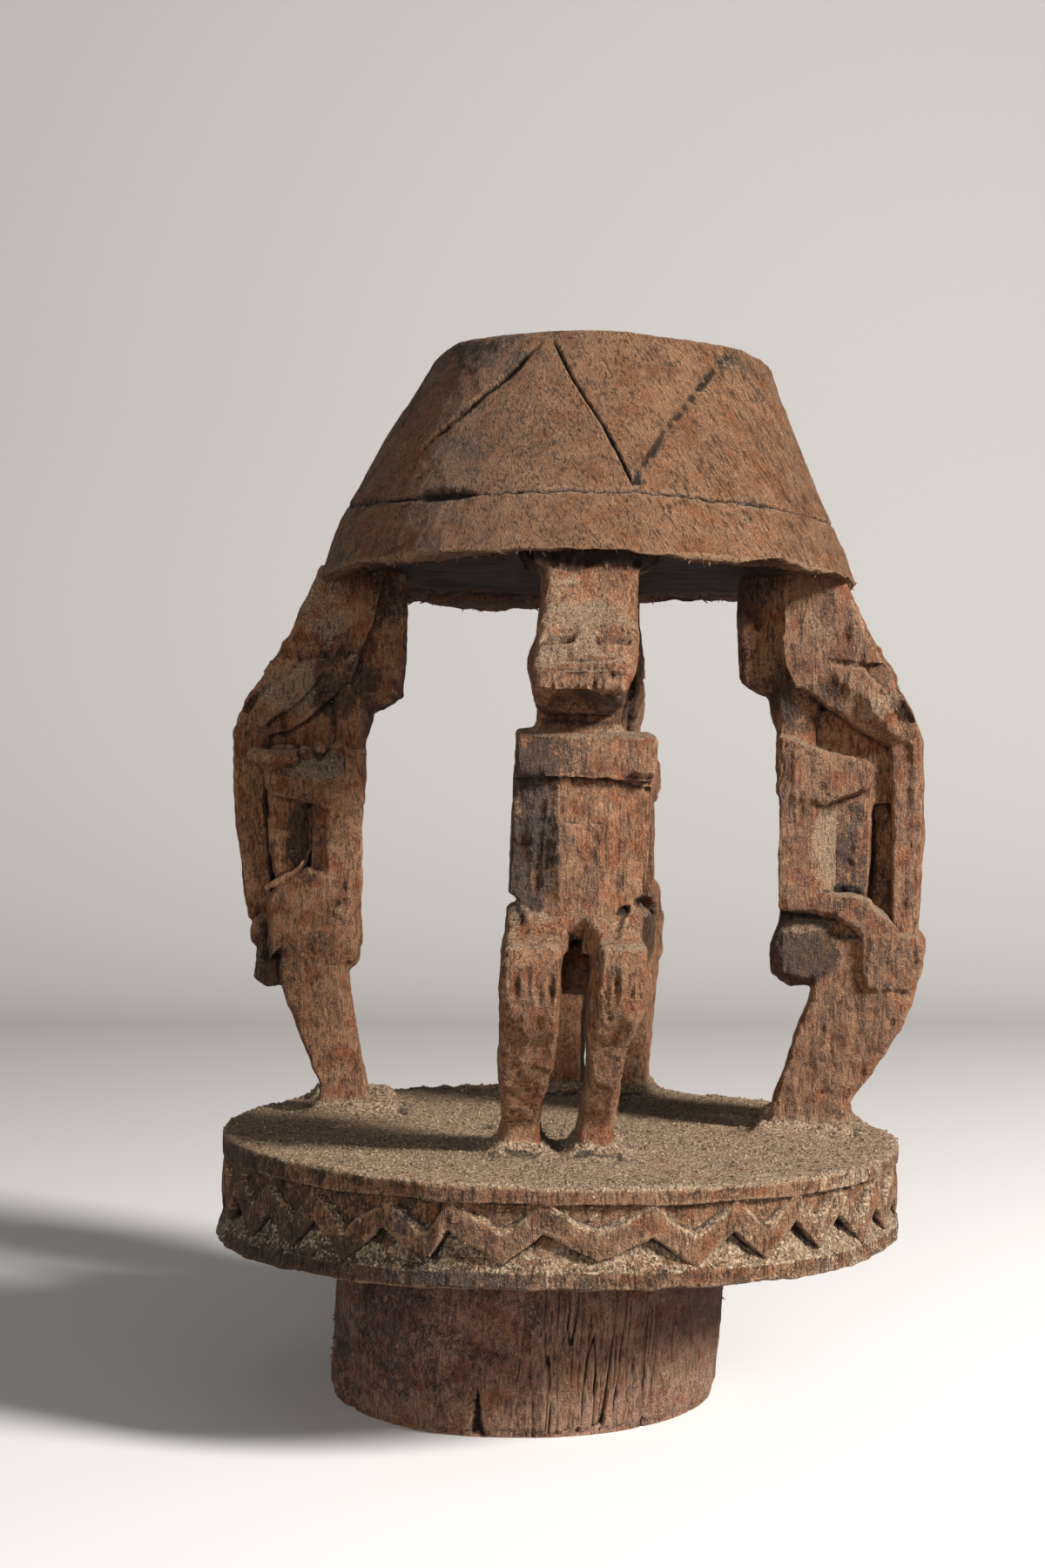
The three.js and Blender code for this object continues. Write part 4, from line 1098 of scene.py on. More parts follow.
def make_platform(wood):
    angle, on_edge = full_turn(FRIEZE_PERIODS * PERIOD_COLUMNS, PLATFORM_RADIUS)
    uneven = layered(on_edge, (0.5, 24, 3), (0.25, 7, 4))
    radius = PLATFORM_RADIUS - 0.3 + uneven * (0.5 + near_bearing(angle, 97, 0.35, 0.9))
    ragged = 0.4 * rough(on_edge, 8, 5) + 0.4 * np.minimum(rough(on_edge, 3.2, 6), 0.2)
    lower = LOWER_LIP + 0.35 * rough(on_edge, 11, 15)
    upper = PLATFORM_HEIGHT - UPPER_LIP + 0.3 * rough(on_edge, 13, 16)
    depth_share = 0.85 + 0.3 * rough(on_edge, 9, 8)
    strip_low = np.maximum(lower + 0.8 + STRIP_RISE * zigzag(angle, 21), lower + 0.2)
    strip_low = np.maximum(strip_low + 0.35 * rough(on_edge, 2.6, 17), lower + 0.2)
    strip_high = strip_low + STRIP_TALL + 0.9 * rough(on_edge, 7, 9) + 0.3 * rough(on_edge, 2.2, 18)
    strip_high = np.minimum(strip_high, upper - 0.15)
    rings, pocket = [], []

    def ring(inward, up, carved=0.0):
        rings.append(around(angle, radius - inward, up))
        pocket.append(np.broadcast_to(carved, angle.shape))

    for share in (0.2, 0.45, 0.56, 0.62, 0.7, 0.78, 0.86, 0.93):
        ring(radius * (1 - share), 0.0 + ragged * smooth_step(0.75, 1, share))
    ring(1.3, ragged + 0.1)
    ring(0.45, ragged + 0.3)
    # Lower lip
    lip_out = 0.9 * near_bearing(angle, -88, 0.2, 0.9)
    for share in np.linspace(0, 1, 7):
        up = (ragged + 0.8) * (1 - share) + (lower - 0.15) * share
        ring(-lip_out * (1 - share) - 0.1 + 0.25 * share, up, 0.15 * share)
    # Pockets under the zigzag: dust-filled floors that run inwards up to an undercut, which is painted dark as
    # shadow
    low_tall = strip_low - lower
    low_depth = LOWER_POCKET * depth_share * np.minimum(1, low_tall / 3.4)
    for share in np.linspace(0.04, 1, 9):
        deep = low_depth * share ** 0.7 + 0.25
        ring(deep, lower + low_tall * share * 0.97, np.minimum(1, deep / LOWER_POCKET) * share)
    ring(low_depth * 0.9 + 0.3, strip_low + 0.12, 1.0)
    # Zigzag strip
    for share in np.linspace(0, 1, 9):
        up = strip_low + 0.2 + (strip_high - strip_low - 0.35) * share
        ring(0.3 + 0.25 * (2 * share - 1) ** 4, up)
    # Pockets over the zigzag: a slanted facet, a flat floor and a thin dark furrow under the lip
    high_tall = upper - strip_high
    high_depth = UPPER_POCKET * (0.6 + 0.5 * depth_share) * np.minimum(1, high_tall / 3.0)
    furrow = 0.9 * smooth_step(-0.2, 0.5, rough(on_edge, 30, 12))
    for share in (0.05, 0.13, 0.2, 0.3, 0.42, 0.55, 0.68, 0.8, 0.9):
        slant = min(1, share / 0.2)
        carved = 0.35 * slant * np.minimum(1, high_tall / 3)
        ring(high_depth * slant + 0.4, strip_high + high_tall * share, carved)
    ring(high_depth + 0.4 + 0.5 * furrow, upper - 0.12, 0.3 + 0.5 * furrow)
    # Upper lip, its edge worn round, and the top
    ring(0.25, upper + 0.2, 0.1)
    for share in np.linspace(0.18, 1, 6):
        ring(0.1 + 0.1 * (1 - share), upper + share * (UPPER_LIP - 0.75))
    ring(0.4, PLATFORM_HEIGHT - 0.28)
    ring(1.1, PLATFORM_HEIGHT)
    for share in np.concatenate([np.linspace(0.975, 0.3, 42), np.linspace(0.26, 0.03, 6)]):
        ring(radius * (1 - share), PLATFORM_HEIGHT)

    points, quads, faces = ringed(np.array(rings))
    pocket = np.concatenate([np.concatenate(pocket), [0, 0]])
    top = points[:, 2] > PLATFORM_HEIGHT - 0.3
    side = ~top & (points[:, 2] > 0.5)
    normals = normals_of(points, quads)
    soles = at_soles(points) * top
    lumps = layered(points, (0.35, 22, 31), (0.34, 8, 32), (0.26, 2.4, 33))
    grit = 0.2 * rough(points, 1.1, 34)
    hatch = 0.22 * np.minimum(rough(points, 0.9, 35, stretch=9), 0.3)
    hatch = hatch + 0.25 * rough(points, 4, 36) + 0.12 * rough(points, 1.6, 37)
    floors = 0.26 * rough(points, 2.6, 38) * smooth_step(0.2, 0.6, pocket)
    points = points + normals * (top * (lumps + grit) + side * (hatch + floors))[:, None]
    points[:, 2] += SOLE_MOUND * soles ** 1.4 * (1 + 0.3 * rough(points, 3, 39))
    # The rim hangs lower on the left
    bearings = bearings_of(points)
    high = points[:, 2]
    hang = np.interp(high, [-2, 5, 18, PLATFORM_HEIGHT - 0.6], [1, 1, 0.4, 0])
    hang = hang * smooth_step(0.78, 0.97, np.hypot(points[:, 0], points[:, 1]) / PLATFORM_RADIUS)
    points[:, 2] = high - hang * by_bearing(bearings, RIM_HANG)
    coarse = rough(points, 26, 41)
    fine = rough(points, 5, 42)
    dust = np.where(top, 0.74 + 0.25 * coarse + 0.2 * fine, 0.2 + 0.3 * (normals[:, 2] > 0.3) + 0.15 * coarse)
    # Paler on the right side of the rim, towards the light: painted light, laid in with the dust
    lit_right = near_bearing(bearings, 80, 0.5, 1.1)
    side_dust = 0.14 * smooth_step(0.1, 0.7, pocket) + 0.24 * lit_right * smooth_step(-0.3, 0.5, fine)
    dust = dust + side * side_dust + 0.3 * soles
    patina = 0.08 + 0.25 * smooth_step(0, 0.8, -coarse) + (0.1 + 0.3 * smooth_step(0.3, 0.7, fine)) * side
    # Darker on the side of the rim turned from the light: painted shade
    patina = patina + 0.2 * side * smooth_step(0.3, 1.2, turn_from(bearings, 40))
    # The lower lip, which faces down, is darkened: painted shade
    patina = patina + 0.25 * side * (high < lower.mean()) + 0.25 * side * smooth_step(0.2, 0.6, pocket)
    loose_side = 0.5 * side * smooth_step(0.2, 0.6, pocket)
    loose = np.where(top, 0.45 + 0.5 * coarse + 0.4 * fine + 0.5 * soles, loose_side)
    # The undercut beneath each zigzag is painted dark through the hollow mask: painted shadow
    undercut_shade = smooth_step(0.72, 1.0, pocket)
    masks = dict(dust=dust, patina=patina, hollow=undercut_shade, edge=edge_mask(points, quads), loose=loose)
    points = moved(points, lean_matrix())
    piece = finish_piece("carved_platform", points, faces, masks, wood, ["platform"])
    scatter(piece, "platform_crumbs", "crumb", wood, "platform_wood", Density=300000, Smallest=0.0003,
            Largest=0.0011, Lean=3.1, Seed=5)


# Strokes of the zigzag cut round the bowl: bearings of their upper and lower ends in degrees, half their
# width in millimetres, how ragged they are, how far down they run before they fade, and how much they bow
STROKES = (
    (-19.4, 7.2, 0.34, 0.2, 1.2, 0.44), (-21, -57, 0.95, 0.6, 0.62, 0), (42, 8, 1.15, 0.7, 0.9, 0.66),
    (43, 74, 0.4, 0.6, 0.5, 0.2), (101, 77, 0.55, 0.4, 1.2, 0.3), (101, 134, 0.6, 0.5, 0.8, 0.3),
    (162, 135, 0.5, 0.4, 1.2, 0.3), (162, 194, 0.6, 0.6, 1.2, 0.3), (222, 195, 0.55, 0.3, 0.9, 0.3),
    (222, 254, 0.5, 0.4, 1.2, 0.3), (283, 255, 0.6, 0.6, 1.2, 0.3), (283, 303, 0.5, 0.4, 0.3, 0.3),
)
# How far the groove round the bowl, its brim and its lower edge stray up or down, by bearing
LINE_STRAY = (
    (-180, 0), (-110, 2.0), (-80, 2.1), (-62, 0.2), (-45, -0.6), (-25, -0.5), (-5, 0), (10, 0), (25, -0.6),
    (40, -0.9), (55, -1.3), (75, -0.5), (100, 0), (180, 0),
)
BRIM_STRAY = (
    (-180, 0.4), (-90, 1.2), (-63, 1.8), (-45, 1.6), (-27, 1.3), (0, 1.1), (15, 0.2), (30, -0.1), (49, -0.1),
    (70, -0.4), (180, 0.4),
)
EDGE_HANG = (
    (-180, 3), (-160, 3.4), (-100, 3.6), (-75, 4.2), (-60, 3.4), (-45, 2.4), (-30, 1.8), (0, 1.5), (12, 2.2),
    (25, 1.8), (40, 1.3), (55, 2), (75, 2.2), (95, 1.6), (130, 0.3), (160, 0.6), (180, 3),
)
# Heights between which the strokes run
STROKE_HIGH, STROKE_LOW = 53.6, 15.4


def bowl_radius(up):
    return RIM_RADIUS + (MOUTH_RADIUS - RIM_RADIUS) * up / BOWL_HEIGHT


# Depth of the incised lines at points of the bowl's side, 0 to 1
def incised(angle, up, points, spread=1.0):
    wander = 0.5 * rough(points, 10, 61)
    crumbs = rough(points, 1.7, 62)
    uneven = 0.85 + 0.35 * rough(points, 6, 63)
    radius = bowl_radius(up)
    # The groove is thin and worn in places, and dark and broad over a short way on the left
    strong = near_bearing(angle, -35, 0.07, 0.15)
    broad = 0.34 + 0.25 * smooth_step(-0.1, 0.6, rough(points, 14, 64)) + 0.8 * strong
    stray = LINE_HEIGHT + by_bearing(angle, LINE_STRAY) + 0.4 * wander + 0.35 * crumbs
    faint = np.maximum(0.5 + 0.5 * smooth_step(-0.5, 0.3, rough(points, 9, 65)), strong)
    depth = faint * uneven * np.clip(1.4 - np.abs(up - stray) / (broad * spread), 0, 1)
    for top, low, half, ragged, fade, bow in STROKES:
        run = math.radians((low - top + 180) % 360 - 180)
        share = np.clip((STROKE_HIGH - up) / (STROKE_HIGH - STROKE_LOW), 0, 1)
        slope = run * radius / (STROKE_HIGH - STROKE_LOW)
        bowed = share + bow * share * (1 - share)
        signed = ((angle - math.radians(top) - run * bowed + math.pi) % (2 * math.pi) - math.pi) * radius
        gap = np.abs(signed + 0.5 * wander + 0.5 * ragged * crumbs) / np.sqrt(1 + slope ** 2)
        within = smooth_step(STROKE_LOW - 0.8, STROKE_LOW + 0.4, up)
        within = within * (1 - smooth_step(50.5, 53, up + 0.6 * crumbs))
        within = within * (1 - 0.45 * (ragged > 0.4) * smooth_step(0.1, 0.5, crumbs))
        within = within * (1 - smooth_step(fade, fade + 0.3, share + 0.1 * crumbs))
        depth = np.maximum(depth, within * uneven * np.clip(1.4 - gap / (half * spread), 0, 1))
    return np.clip(depth, 0, 1.2)


def make_bowl(wood):
    angle, on_edge = full_turn(BOWL_COLUMNS, RIM_RADIUS)
    nicks = 0.5 * rough(on_edge, 12, 71) + 0.5 * np.maximum(rough(on_edge, 3.5, 72), -0.3)
    rings, kinds = [], []
    UNDER, WALL, MOUTH = 0, 1, 2

    def ring(radius, up, kind):
        rings.append(around(angle, radius, up))
        kinds.append(kind)

    for share in np.linspace(0.04, 0.975, 34):
        ring(RIM_RADIUS * share, 0.0 + nicks * smooth_step(0.85, 1, share), UNDER)
    ring(RIM_RADIUS - 0.8, nicks + 0.1, UNDER)
    ring(RIM_RADIUS - 0.2, nicks + 0.5, WALL)
    # Fuller on the left half way up, and its brim a little higher in front than at the sides
    left = near_bearing(angle, -90, 0.5, 1.5)
    right = near_bearing(angle, 90, 0.4, 1.3)
    for up in np.linspace(1.1, BOWL_HEIGHT - 1.6, 124):
        fuller = (0.3 + 1.7 * left - 1.9 * right) * math.sin(math.pi * up / BOWL_HEIGHT)
        ring(bowl_radius(up) + fuller, up + nicks * (1 - smooth_step(0, 5, up)), WALL)
    for turn in (0.35, 0.75, 1.15, 1.5):
        out = MOUTH_RADIUS - 1.5 * (1 - math.cos(turn)) + 0.5 * math.cos(turn)
        ring(out, BOWL_HEIGHT - 1.6 + 1.5 * math.sin(turn), WALL)
    mouth = MOUTH_RADIUS - BOWL_WALL
    for out in np.linspace(MOUTH_RADIUS - 2.4, mouth + 1.2, 7):
        ring(out, BOWL_HEIGHT - 0.1, MOUTH)
    for turn in (0.4, 0.9, 1.4):
        ring(mouth + 1.2 * (1 - math.sin(turn)), BOWL_HEIGHT - 0.1 - 1.2 * (1 - math.cos(turn)), MOUTH)
    for up in np.linspace(BOWL_HEIGHT - 2.4, BOWL_FLOOR + HOLLOW_ROUNDING, 24):
        ring(mouth, up, MOUTH)
    for turn in np.linspace(0.15, math.pi / 2, 9):
        out = mouth - HOLLOW_ROUNDING * (1 - math.cos(turn))
        ring(out, BOWL_FLOOR + HOLLOW_ROUNDING * (1 - math.sin(turn)), MOUTH)
    for out in np.linspace(mouth - HOLLOW_ROUNDING - 1, 1.5, 16):
        ring(out, BOWL_FLOOR, MOUTH)

    points, quads, faces = ringed(np.array(rings))
    kind = np.concatenate([np.repeat(kinds, BOWL_COLUMNS), [UNDER, MOUTH]])
    wall = kind == WALL
    normals = normals_of(points, quads)
    bearings = bearings_of(points)
    lines = np.where(wall, incised(bearings, points[:, 2], points), 0)
    gentle = layered(points, (0.5, 34, 73), (0.28, 12, 74), (0.12, 4, 83))
    facets = scoops(points, normals, 6.5, 0.22, 1.8, 75) - points
    fibres = 0.09 * rough(points, 1.2, 76, stretch=5)
    under = 1.3 * rough(points, 13, 77) * smooth_step(30, 50, np.hypot(points[:, 0], points[:, 1]))
    under = under + 0.35 * rough(points * np.array([0.25, 1, 1]), 2, 78)
    pitted = 0.16 * rough(points, 2.4, 79)
    elsewhere = np.where(kind == UNDER, under, 0.5 * gentle + fibres)
    shift = np.where(wall, gentle + fibres + pitted - lines, elsewhere)
    points = points + facets * wall[:, None] + normals * shift[:, None]
    brim = smooth_step(BOWL_HEIGHT - 12, BOWL_HEIGHT, points[:, 2])
    points[:, 2] += brim * by_bearing(bearings, BRIM_STRAY)
    across = np.hypot(points[:, 0], points[:, 1])
    hang = (1 - smooth_step(0, 9, points[:, 2])) * smooth_step(RIM_RADIUS - 13, RIM_RADIUS - 1.5, across)
    points[:, 2] -= hang * by_bearing(bearings, EDGE_HANG) * (kind != MOUTH)

    coarse = layered(points, (1, 17, 81), (0.6, 6, 82))
    # Darker on the left, the side turned from the light: painted shade, laid in with the grime
    shaded_left = near_bearing(bearings, -95, 0.35, 1.5)
    high = smooth_step(36, 54, points[:, 2])
    near_lines = np.where(wall, incised(bearings, points[:, 2], points, 2.4), 0)
    patina = (0.06 + 0.36 * shaded_left + 0.2 * high + 0.26 * coarse + 0.42 * near_lines) * wall
    unrolled = np.column_stack([np.degrees(bearings), points[:, 2], 0 * bearings])
    patch = hill(unrolled, (-24, 30, 0), (13, 7, 1), 1.8)
    verge = smooth_step(RIM_RADIUS - 20, RIM_RADIUS - 10, across) * (kind == UNDER)
    # The underside is darkened, less so near its outer edge: painted shade under the bowl
    patina = patina + 0.3 * patch * wall + 0.75 * (kind == UNDER) - 0.45 * verge + 0.4 * (kind == MOUTH)
    low = 1 - smooth_step(-4, 1.4, points[:, 2])
    # A pale band along the lower edge of each groove, where its lower wall catches the light: painted
    # highlight, laid in with the dust
    lit_edge = np.where(wall, incised(bearings, points[:, 2] + 0.9, points) * (lines < 0.3), 0)
    dust = 0.12 + 0.2 * coarse * wall + 0.4 * lit_edge + 0.3 * low * wall
    # Grooves, and the underside, are darkened through the hollow mask: painted shade
    hollow = np.maximum(np.minimum(1.15 * lines, 1), 0.7 * (kind == UNDER) - 0.5 * verge)
    loose = (kind == UNDER) * smooth_step(RIM_RADIUS - 16, RIM_RADIUS - 5, across)
    masks = dict(dust=dust, patina=patina, hollow=hollow, edge=edge_mask(points, quads), loose=loose)
    points[:, 0] += points[:, 2] * BOWL_SKEW / BOWL_HEIGHT
    points = moved(points, ring_matrix() @ Matrix.Translation((0, 0, FIGURE_HEIGHT)))
    piece = finish_piece("carved_bowl", points, faces, masks, wood, ["bowl"])
    scatter(piece, "bowl_splinters", "splinter", wood, "bowl_wood", Density=150000, Smallest=0.0012,
            Largest=0.004, Lean=1.5, Seed=7)


def make_foot(wood):
    angle, on_edge = full_turn(FOOT_COLUMNS, FOOT_RADIUS)
    flats = layered(on_edge, (1.0, 19, 91), (0.35, 7, 92))
    ragged = 0.7 * np.maximum(rough(on_edge, 6, 93), 0) + 0.6 * np.maximum(rough(on_edge, 1.6, 94) - 0.2, 0)
    rings = []
    for share in (0.2, 0.5, 0.7, 0.82, 0.9, 0.95):
        rings.append(around(angle, (FOOT_RADIUS - 1.4) * share, 0.0))
    rings.append(around(angle, FOOT_RADIUS - 1.4 + 0.5 * flats, ragged * 0.4))
    for share in np.linspace(0, 1, 72):
        up = 0.2 + 0.8 * ragged + (FOOT_HEIGHT + 2 - 0.2 - 0.8 * ragged) * share
        chamfer = 0.8 * (1 - smooth_step(0, 0.05, share))
        rings.append(around(angle, FOOT_RADIUS - 0.9 * (1 - share) + flats * (1 - 0.4 * share) - chamfer, up))
    for share in (0.9, 0.6, 0.3):
        rings.append(around(angle, FOOT_RADIUS * share, FOOT_HEIGHT + 2))
    points, quads, faces = ringed(np.array(rings))
    normals = normals_of(points, quads)
    side = (points[:, 2] > 0.2) & (np.hypot(points[:, 0], points[:, 1]) > FOOT_RADIUS * 0.94)
    bearings = bearings_of(points)
    # Fissures along the grain, thickest right of the middle and towards the bottom
    wander = wandered(points, 0.5, 14, 95)
    thin_crack = 1 - np.abs(rough(wander, 1.4, 97, stretch=16)) / 0.24
    wide_crack = 1 - np.abs(rough(wander, 2.4, 98, stretch=14)) / 0.12
    zone = near_bearing(bearings, 20, 0.2, 0.6)
    zone = np.maximum(zone, 0.55 * near_bearing(bearings, 200, 0.3, 0.6))
    patches = smooth_step(0.1, 0.5, rough(points, 16, 99))
    zone = np.maximum(zone, 0.5 * patches * smooth_step(24, 4, points[:, 2]))
    zone = zone * (1 - smooth_step(22, 40, points[:, 2]) * 0.8)
    depth = side * (zone * (0.7 * np.clip(thin_crack, 0, 1) + 1.3 * np.clip(wide_crack, 0, 1)))
    # A broad split on the left of the middle, open at the bottom
    aside = np.abs(points[:, 0] + 11 + 1.1 * rough(points, 5, 105) + 0.5 * rough(points, 1.6, 108))
    split = np.clip(1.3 - aside / (1.7 - 0.1 * points[:, 2]).clip(0.3), 0, 1)
    depth = depth + 2.2 * side * split * (points[:, 1] < 0) * (1 - smooth_step(5, 15, points[:, 2]))
    plain = layered(points, (0.2, 1.2, 100, 8), (0.3, 7, 101), (0.16, 2.4, 104))
    points = points + normals * ((plain - depth) * side)[:, None]
    points[:, 2] = np.maximum(points[:, 2], 0)
    coarse = rough(points, 15, 102)
    # Darker towards the left, the side turned from the light: painted shade, laid in with the grime
    left = smooth_step(-0.2, 0.9, -np.sin(bearings))
    patina = 0.16 + 0.3 * left + 0.26 * coarse - 0.2 * smooth_step(0.2, 0.9, np.sin(bearings))
    tufts = near_bearing(bearings, -18, 0.12, 0.4)
    loose = side * tufts * smooth_step(0, 0.4, rough(points, 6, 106)) * smooth_step(3, 10, points[:, 2])
    stray = side * smooth_step(0.4, 0.7, rough(points, 8, 107)) * smooth_step(3, 6, points[:, 2])
    loose = np.maximum(loose, 0.25 * stray)
    dust = 0.1 + 0.3 * smooth_step(0, 0.7, rough(points, 9, 103))
    # Paler towards the right, towards the light: painted light, laid in with the dust
    dust = dust + 0.1 * smooth_step(0.3, 1, np.sin(bearings))
    # Cracks are darkened through the hollow mask: painted shade
    hollow = np.clip(0.8 * depth, 0, 1)
    masks = dict(dust=dust, patina=patina, hollow=hollow, edge=edge_mask(points, quads), loose=loose)
    # The foot stands askew: its lower end lies further left
    points[:, 0] += 0.6 - 2.8 * (1 - points[:, 2] / FOOT_HEIGHT)
    piece = finish_piece("carved_foot", points, faces, masks, wood, ["foot"])
    scatter(piece, "foot_fibres", "splinter", wood, "foot_wood", Density=1100000, Smallest=0.0008,
            Largest=0.0028, Lean=1.2, Seed=9)


# A colour code such as #603c27 as the linear colour that a shader takes
def linear(code):
    parts = [int(code[place:place + 2], 16) / 255 for place in (1, 3, 5)]
    return *(part / 12.92 if part <= 0.04045 else ((part + 0.055) / 1.055) ** 2.4 for part in parts), 1.0


# Adds a node: settings are its own properties, inputs are numbers, colours or sockets to link from
def node(tree, kind, inputs=None, **settings):
    made = tree.nodes.new(kind)
    for label, value in settings.items():
        setattr(made, label, value)
    for label, value in (inputs or {}).items():
        if isinstance(value, bpy.types.NodeSocket):
            tree.links.new(value, made.inputs[label])
        else:
            made.inputs[label].default_value = value
    return made


def noise(tree, place, scale, detail, roughness):
    return node(tree, "ShaderNodeTexNoise", {
        "Vector": place, "Scale": scale, "Detail": detail, "Roughness": roughness,
    }).outputs["Fac"]


def mapped(tree, place, **inputs):
    return node(tree, "ShaderNodeMapping", dict(inputs, Vector=place)).outputs["Vector"]


def ranged(tree, value, low, high, to_low=0.0, to_high=1.0):
    return node(tree, "ShaderNodeMapRange", {
        "Value": value, "From Min": low, "From Max": high, "To Min": to_low, "To Max": to_high,
    }, interpolation_type="SMOOTHSTEP").outputs["Result"]


def math_of(tree, operation, first, second):
    return node(tree, "ShaderNodeMath", {0: first, 1: second}, operation=operation).outputs[0]


def times(tree, value, weight):
    return math_of(tree, "MULTIPLY", value, weight)


# Sum of a value and of others, each given with its weight
def summed(tree, whole, *parts):
    for value, weight in parts:
        whole = math_of(tree, "ADD", whole, times(tree, value, weight))
    return whole


def mixed(tree, share, first, second):
    return node(tree, "ShaderNodeMix", {0: share, 6: first, 7: second}, data_type="RGBA").outputs[2]


# A group of nodes with named inputs and outputs: its tree, what it is given, and what it puts out
def new_group(name, kind, inputs, outputs):
    group = bpy.data.node_groups.new(name, kind)
    for direction, sockets in (("INPUT", inputs), ("OUTPUT", outputs)):
        for label, socket in sockets.items():
            group.interface.new_socket(label, in_out=direction, socket_type="NodeSocket" + socket)
    return group, group.nodes.new("NodeGroupInput").outputs, group.nodes.new("NodeGroupOutput").inputs


# Dry wood seen close: mottled tone, fibres along the grain, open pores and pits, and their relief
def grain_group():
    group, given, result = new_group(
        "wood_grain", "ShaderNodeTree", dict(Place="Vector", Tilt="Vector", Hatch="Float"),
        dict(Tone="Float", Pores="Float", Height="Float"),
    )
    place = given["Place"]
    turned = mapped(group, place, Rotation=given["Tilt"])
    mottle = noise(group, place, 0.12, 5, 0.65)
    blotch = noise(group, place, 0.55, 4, 0.7)
    fibre = noise(group, mapped(group, turned, Scale=(1, 1, 0.14)), 1.3, 4, 0.7)
    drawn_out = mapped(group, turned, Scale=(1, 1, 0.22))
    fine = noise(group, drawn_out, 3.0, 2, 0.6)
    speck = noise(group, place, 2.2, 3, 0.8)
    slits = ranged(group, noise(group, drawn_out, 1.5, 2, 0.5), 0.555, 0.62)
    pits = ranged(group, noise(group, place, 1.6, 3, 0.65), 0.62, 0.68)
    here = ranged(group, noise(group, place, 0.2, 3, 0.6), 0.36, 0.52)
    slits = times(group, times(group, slits, given["Hatch"]), here)
    there = ranged(group, noise(group, place, 0.15, 3, 0.6), 0.62, 0.42)
    pores = math_of(group, "MAXIMUM", slits, times(group, pits, there))
    tone = summed(group, times(group, mottle, 0.5), (blotch, 0.45), (fibre, 0.5), (speck, 0.5), (fine, 0.4))
    height = summed(group, times(group, fibre, 1.1), (fine, 0.5), (speck, 0.6), (blotch, 1.1), (pores, -1.1))
    group.links.new(ranged(group, tone, 0.9, 1.36), result["Tone"])
    group.links.new(pores, result["Pores"])
    group.links.new(height, result["Height"])
    return group


# A coat that lies in ragged specks and patches, as thick as its mask says: dust with some painted highlight,
# or old dark grime with some painted shade
def coat_group():
    group, given, result = new_group(
        "ragged_coat", "ShaderNodeTree", dict(Place="Vector", Mask="Float", Grit="Float", Fineness="Float"),
        dict(Cover="Float", Grains="Float"),
    )
    patches = math_of(group, "SUBTRACT", noise(group, given["Place"], 0.3, 5, 0.72), 0.5)
    grains = noise(group, given["Place"], given["Fineness"], 3, 0.8)
    loose = math_of(group, "SUBTRACT", grains, 0.5)
    level = summed(group, given["Mask"], (patches, 1.3), (loose, given["Grit"]))
    group.links.new(ranged(group, level, 0.42, 0.6), result["Cover"])
    group.links.new(ranged(group, grains, 0.4, 0.6), result["Grains"])
    return group


